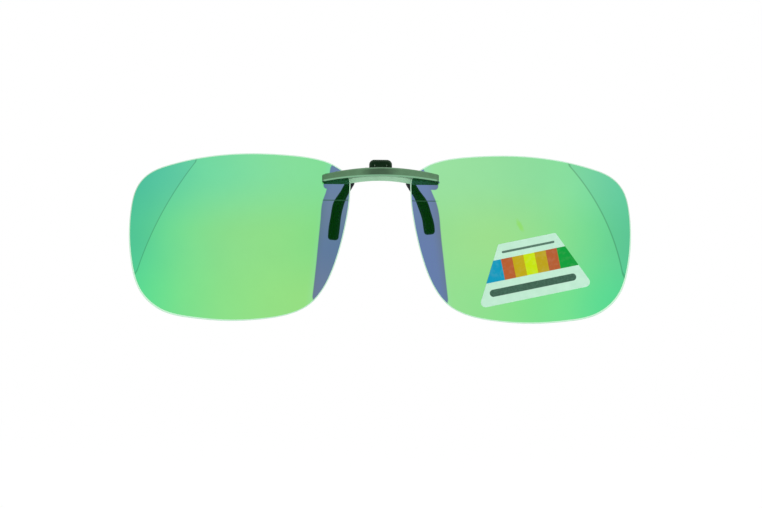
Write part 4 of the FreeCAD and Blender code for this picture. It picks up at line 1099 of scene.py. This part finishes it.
def thumb_tab():
    corners = rounded_rect(
        TAB_HALF_WIDTH, TAB_BOTTOM, TAB_TOP, low_radius=0.30, high_radius=TAB_TOP_RADIUS,
        count=22,
    )
    outline, _ = evenly(corners, 200, closed=True)
    # the top is slightly crowned
    crown = 0.02 * (1 - (outline[:, 0] / TAB_HALF_WIDTH) ** 2)
    outline[:, 1] += np.where(outline[:, 1] > TAB_TOP - 0.05, crown, 0)
    normals = outward(outline)
    middle = np.array([0.0, (TAB_BOTTOM + TAB_TOP) / 2 - 0.1])
    edge = 0.42
    inner = outline - normals * edge
    shares = np.linspace(0, 1, 22)[1:]
    loft = Loft()

    def face_ring(share, y, relief):
        x, z = (middle + (inner - middle) * share).T
        fade = min((1 - share) * 8, 1.0)  # the relief dies out towards the edge
        loft.ring(np.column_stack([x, y + relief(x, z) * fade, z]))

    def edge_ring(angle, y, direction):
        """A ring of the rounded edge, which sinks from face height y as it widens."""
        x, z = (outline - normals * edge * (1 - math.sin(angle))).T
        height = y + direction * edge * (1 - math.cos(angle))
        loft.ring(np.column_stack([x, np.full(len(x), height), z]))

    loft.hub((middle[0], TAB_FRONT + tab_front_relief(*middle), middle[1]))
    for share in shares:
        face_ring(share, TAB_FRONT, tab_front_relief)
    for angle in np.radians(np.linspace(0, 90, 8))[1:]:
        edge_ring(angle, TAB_FRONT, 1)
    for angle in np.radians(np.linspace(90, 0, 8)):
        edge_ring(angle, TAB_REAR, -1)
    for share in shares[::-1][1:]:
        face_ring(share, TAB_REAR, tab_rear_relief)
    loft.hub((middle[0], TAB_REAR + tab_rear_relief(*middle), middle[1]))
    ob = loft.build(
        "thumb_tab_visual", "thumb_tab_cover", [MATERIALS["tab"]], crease=60.0
    )
    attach(ob, "rear_jaw")


thumb_tab()


# ---------------------------------------------------------------- peel-off label
def label_outline():
    """The trapezium with rounded corners, in the label's own (along, up)."""
    bottom, top = LABEL_BOTTOM_WIDTH / 2, LABEL_TOP_WIDTH / 2
    half_height, lean = LABEL_HEIGHT / 2, LABEL_LEAN / 2
    corners = np.array([
        (-bottom - lean, -half_height), (bottom - lean, -half_height),
        (top + lean, half_height), (-top + lean, half_height),
    ])
    points = []
    for i, radius in enumerate((1.25, 1.25, 0.4, 0.4)):
        corner = corners[i]
        before = corners[i - 1] - corner
        after = corners[(i + 1) % 4] - corner
        before, after = before / np.linalg.norm(before), after / np.linalg.norm(after)
        angle = math.acos(float(before @ after))
        bisector = (before + after) / np.linalg.norm(before + after)
        centre = corner + bisector * (radius / math.sin(angle / 2))
        reach = radius / math.tan(angle / 2)
        start = math.atan2(*(corner + before * reach - centre)[::-1])
        end = math.atan2(*(corner + after * reach - centre)[::-1])
        turn = (end - start + math.pi) % (2 * math.pi) - math.pi
        for share in np.linspace(0, 1, 14):
            bearing = start + turn * share
            points.append(centre + radius * np.array([math.cos(bearing), math.sin(bearing)]))
    return evenly(np.array(points), 420, closed=True)[0]


def film_point(along, up, thickness):
    """Place on the lens front; the film ripples a hair and curls up at a lower corner."""
    x = LABEL_X + along * LABEL_COS - up * LABEL_SIN
    z = LABEL_Z + along * LABEL_SIN + up * LABEL_COS
    curl = 0.35 * np.clip((along * 0.62 - up * 0.78 - 13.2) / 3.6, 0, 1) ** 2
    rise = 0.012 * (np.sin(along * 0.9 + up * 0.4) + 1) + curl
    return x, lens_y(x, z, LENS_RADIUS + 0.03 + thickness + rise), z


def label():
    outline = label_outline()
    film = 0.08
    shares = np.linspace(0, 1, 40)[1:]
    loft = Loft()
    loft.hub(film_point(0.0, 0.0, film))
    for thickness, steps in ((film, shares), (0.0, shares[::-1])):
        for share in steps:
            loft.ring(np.column_stack(film_point(*(outline * share).T, thickness)))
    loft.hub(film_point(0.0, 0.0, 0.0))
    ob = loft.build(
        "peel_off_label_visual", "peel_off_label", [MATERIALS["label"]],
        crease=30.0,
    )
    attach(ob, "lens_frame")


label()


# ---------------------------------------------------------------- torsion spring
def smooth_line(points):
    """Catmull-Rom line through the points, three steps to each span."""
    ext = np.vstack([2 * points[0] - points[1], points, 2 * points[-1] - points[-2]])
    line = []
    for a, b, c, d in zip(ext, ext[1:], ext[2:], ext[3:]):
        for t in (0.0, 1 / 3, 2 / 3):
            square = (2 * a - 5 * b + 4 * c - d) * t * t
            line.append(0.5 * (2 * b + (c - a) * t + square + (3 * b - a - 3 * c + d) * t**3))
    line.append(points[-1])
    return np.array(line)


def torsion_spring():
    """Wire of the jaw spring: front leg, eight and a half turns, rear leg.

    It winds up along its length, from the front leg by the clip carrier to the rear leg by
    the lever.
    """
    jaw_y, jaw_z = 1.4, 1.6
    coil_radius, wire_radius, half_length, turns = 0.72, 0.16, 1.44, 8.5
    front_y, front_z = 0.59, 2.95
    rear_y, rear_z = 2.21, 3.0
    coil_steps, leg_steps, sides = int(turns * 16), 6, 14
    coil_front, coil_rear = jaw_y - coil_radius, jaw_y + coil_radius
    points = []
    for k in range(leg_steps):
        share = k / leg_steps
        y, z = front_y + (coil_front - front_y) * share, front_z + (jaw_z - front_z) * share
        points.append((-half_length, y, z))
    for k in range(coil_steps + 1):
        share = k / coil_steps
        angle = math.pi + 2 * math.pi * turns * share
        y, z = jaw_y + coil_radius * math.cos(angle), jaw_z + coil_radius * math.sin(angle)
        points.append((-half_length + 2 * half_length * share, y, z))
    for k in range(1, leg_steps + 1):
        share = k / leg_steps
        y, z = coil_rear + (rear_y - coil_rear) * share, jaw_z + (rear_z - jaw_z) * share
        points.append((half_length, y, z))
    line = smooth_line(np.array(points))
    tangents = np.gradient(line, axis=0)
    tangents /= np.linalg.norm(tangents, axis=1)[:, None]

    # sections: (index in the line, wire radius, shift along it); the cut ends are chamfered
    chamfer, end_radius = 0.045, wire_radius * 0.72
    sections = [(0, end_radius, 0.0), (0, wire_radius, chamfer)]
    sections += [(i, wire_radius, 0.0) for i in range(1, len(line) - 1)]
    sections += [(-1, wire_radius, -chamfer), (-1, end_radius, 0.0)]
    angles = (2 * math.pi * np.arange(sides) / sides)[:, None]
    up = np.array([1.0, 0.0, 0.0])
    loft = Loft()
    for i, radius, shift in sections:
        tangent = tangents[i]
        up = up - tangent * np.dot(up, tangent)
        up /= np.linalg.norm(up)
        aside = np.cross(tangent, up)
        circle = radius * (np.cos(angles) * up + np.sin(angles) * aside)
        loft.ring(line[i] + tangent * shift + circle)
    loft.cap(0, reverse=True)
    loft.cap(loft.latest)
    ob = loft.build(
        "torsion_spring_visual", "torsion_spring", [MATERIALS["spring"]],
        crease=50.0,
    )
    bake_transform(ob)


torsion_spring()

# ---------------------------------------------------------------- CAD nodes that stay
for node_name, key in {
    "bridge_bar": "bar", "rear_plate": "plate", "flip_barrel": "plate",
    "clip_carrier": "clip", "rear_lever": "clip",
    "left_lens_screws": "screw", "right_lens_screws": "screw",
    "flip_pin": "pin", "jaw_pin": "pin", "detent_leaf": "leaf", "leaf_rivets": "screw",
    "left_lens_bushes": "bush", "right_lens_bushes": "bush",
}.items():
    mesh = frame["nodes"][node_name].data
    mesh.materials.clear()
    mesh.materials.append(MATERIALS[key])
    shade_smooth(mesh, crease=28.0)


# ---------------------------------------------------------------- studio
def world():
    """An even white tent, a touch dimmer low down; the camera sees plain white."""
    studio = bpy.data.worlds.new("studio")
    bpy.context.scene.world = studio
    start_tree(studio)
    white = (1.0, 1.0, 1.0)
    z = xyz(signal("ShaderNodeTexCoord", output="Generated"))[2]
    colour = mix(z.fade(-0.2, -0.9), white, (0.80, 0.82, 0.81))
    colour = mix(signal("ShaderNodeLightPath", output="Is Camera Ray"), colour, white)
    background = signal("ShaderNodeBackground", {"Color": colour, "Strength": 1.0})
    surface(background, "ShaderNodeOutputWorld")


def floor_material():
    """Pale floor: plain white at grazing angles and clear from below."""
    mat = material("studio_floor")
    white = (1.0, 1.0, 1.0)
    tone = noise(local_mm(), scale=0.01, detail=2.0)
    colour = mix(tone.fade(0.3, 0.7), (0.93, 0.93, 0.93), (0.95, 0.95, 0.95))
    diffuse = signal("ShaderNodeBsdfDiffuse", {"Color": colour})
    lit = add_shaders(diffuse, emission(white, strength=0.08))
    view = node("ShaderNodeNewGeometry").outputs
    steepness = abs(dot(Signal(view["Incoming"]), (0.0, 0.0, 1.0)))
    level = mix_shaders(steepness.fade(0.10, 0.03), lit, emission(white))
    surface(mix_shaders(Signal(view["Backfacing"]), level, transparent()))
    return mat


def studio_floor():
    """A floor just under the lenses, left out of the mirror reflections; in metres."""
    mat = floor_material()
    half, z = 30.0, CAD_LO.z - 0.010
    corners = [(-half, -half, z), (half, -half, z), (half, half, z), (-half, half, z)]
    mesh = bpy.data.meshes.new("floor")
    mesh.from_pydata(corners, [], [(0, 1, 2, 3)])
    mesh.materials.append(mat)
    floor = bpy.data.objects.new("floor", mesh)
    bpy.context.scene.collection.objects.link(floor)
    floor.visible_glossy = False


def soft_top():
    """A square area light above and in front, hidden from camera and mirrors; in metres."""
    light = bpy.data.lights.new("soft_top", "AREA")
    light.shape = "RECTANGLE"
    light.size = light.size_y = 0.6
    light.energy = 1.2
    ob = bpy.data.objects.new("soft_top", light)
    bpy.context.scene.collection.objects.link(ob)
    place, target = Vector((0.15, -0.35, 0.75)), Vector((0, 0, -0.01))
    ob.location = place
    ob.rotation_mode = "QUATERNION"
    ob.rotation_quaternion = (target - place).to_track_quat("-Z", "Y")
    ob.visible_glossy = False
    ob.visible_camera = False


def camera():
    """Level, straight on, with a hair of roll."""
    distance = 1.5  # metres in front of the plane that the view's width is measured in
    plane_y = -5.5 * MM
    view_width = 199.9488 * MM
    data = bpy.data.cameras.new("camera")
    ob = bpy.data.objects.new("camera", data)
    bpy.context.scene.collection.objects.link(ob)
    data.sensor_width = 36.0
    data.lens = data.sensor_width * distance / view_width
    data.clip_start, data.clip_end = 0.05, 200.0
    ob.rotation_mode = "XYZ"
    ob.location = (0.33 * MM, plane_y - distance, -19.33 * MM)
    ob.rotation_euler = (math.pi / 2, -CAMERA_ROLL, 0.0)
    bpy.context.scene.camera = ob


world()
studio_floor()
soft_top()
camera()
bpy.context.scene.view_settings.view_transform = "Standard"
bpy.context.scene.view_settings.look = "None"
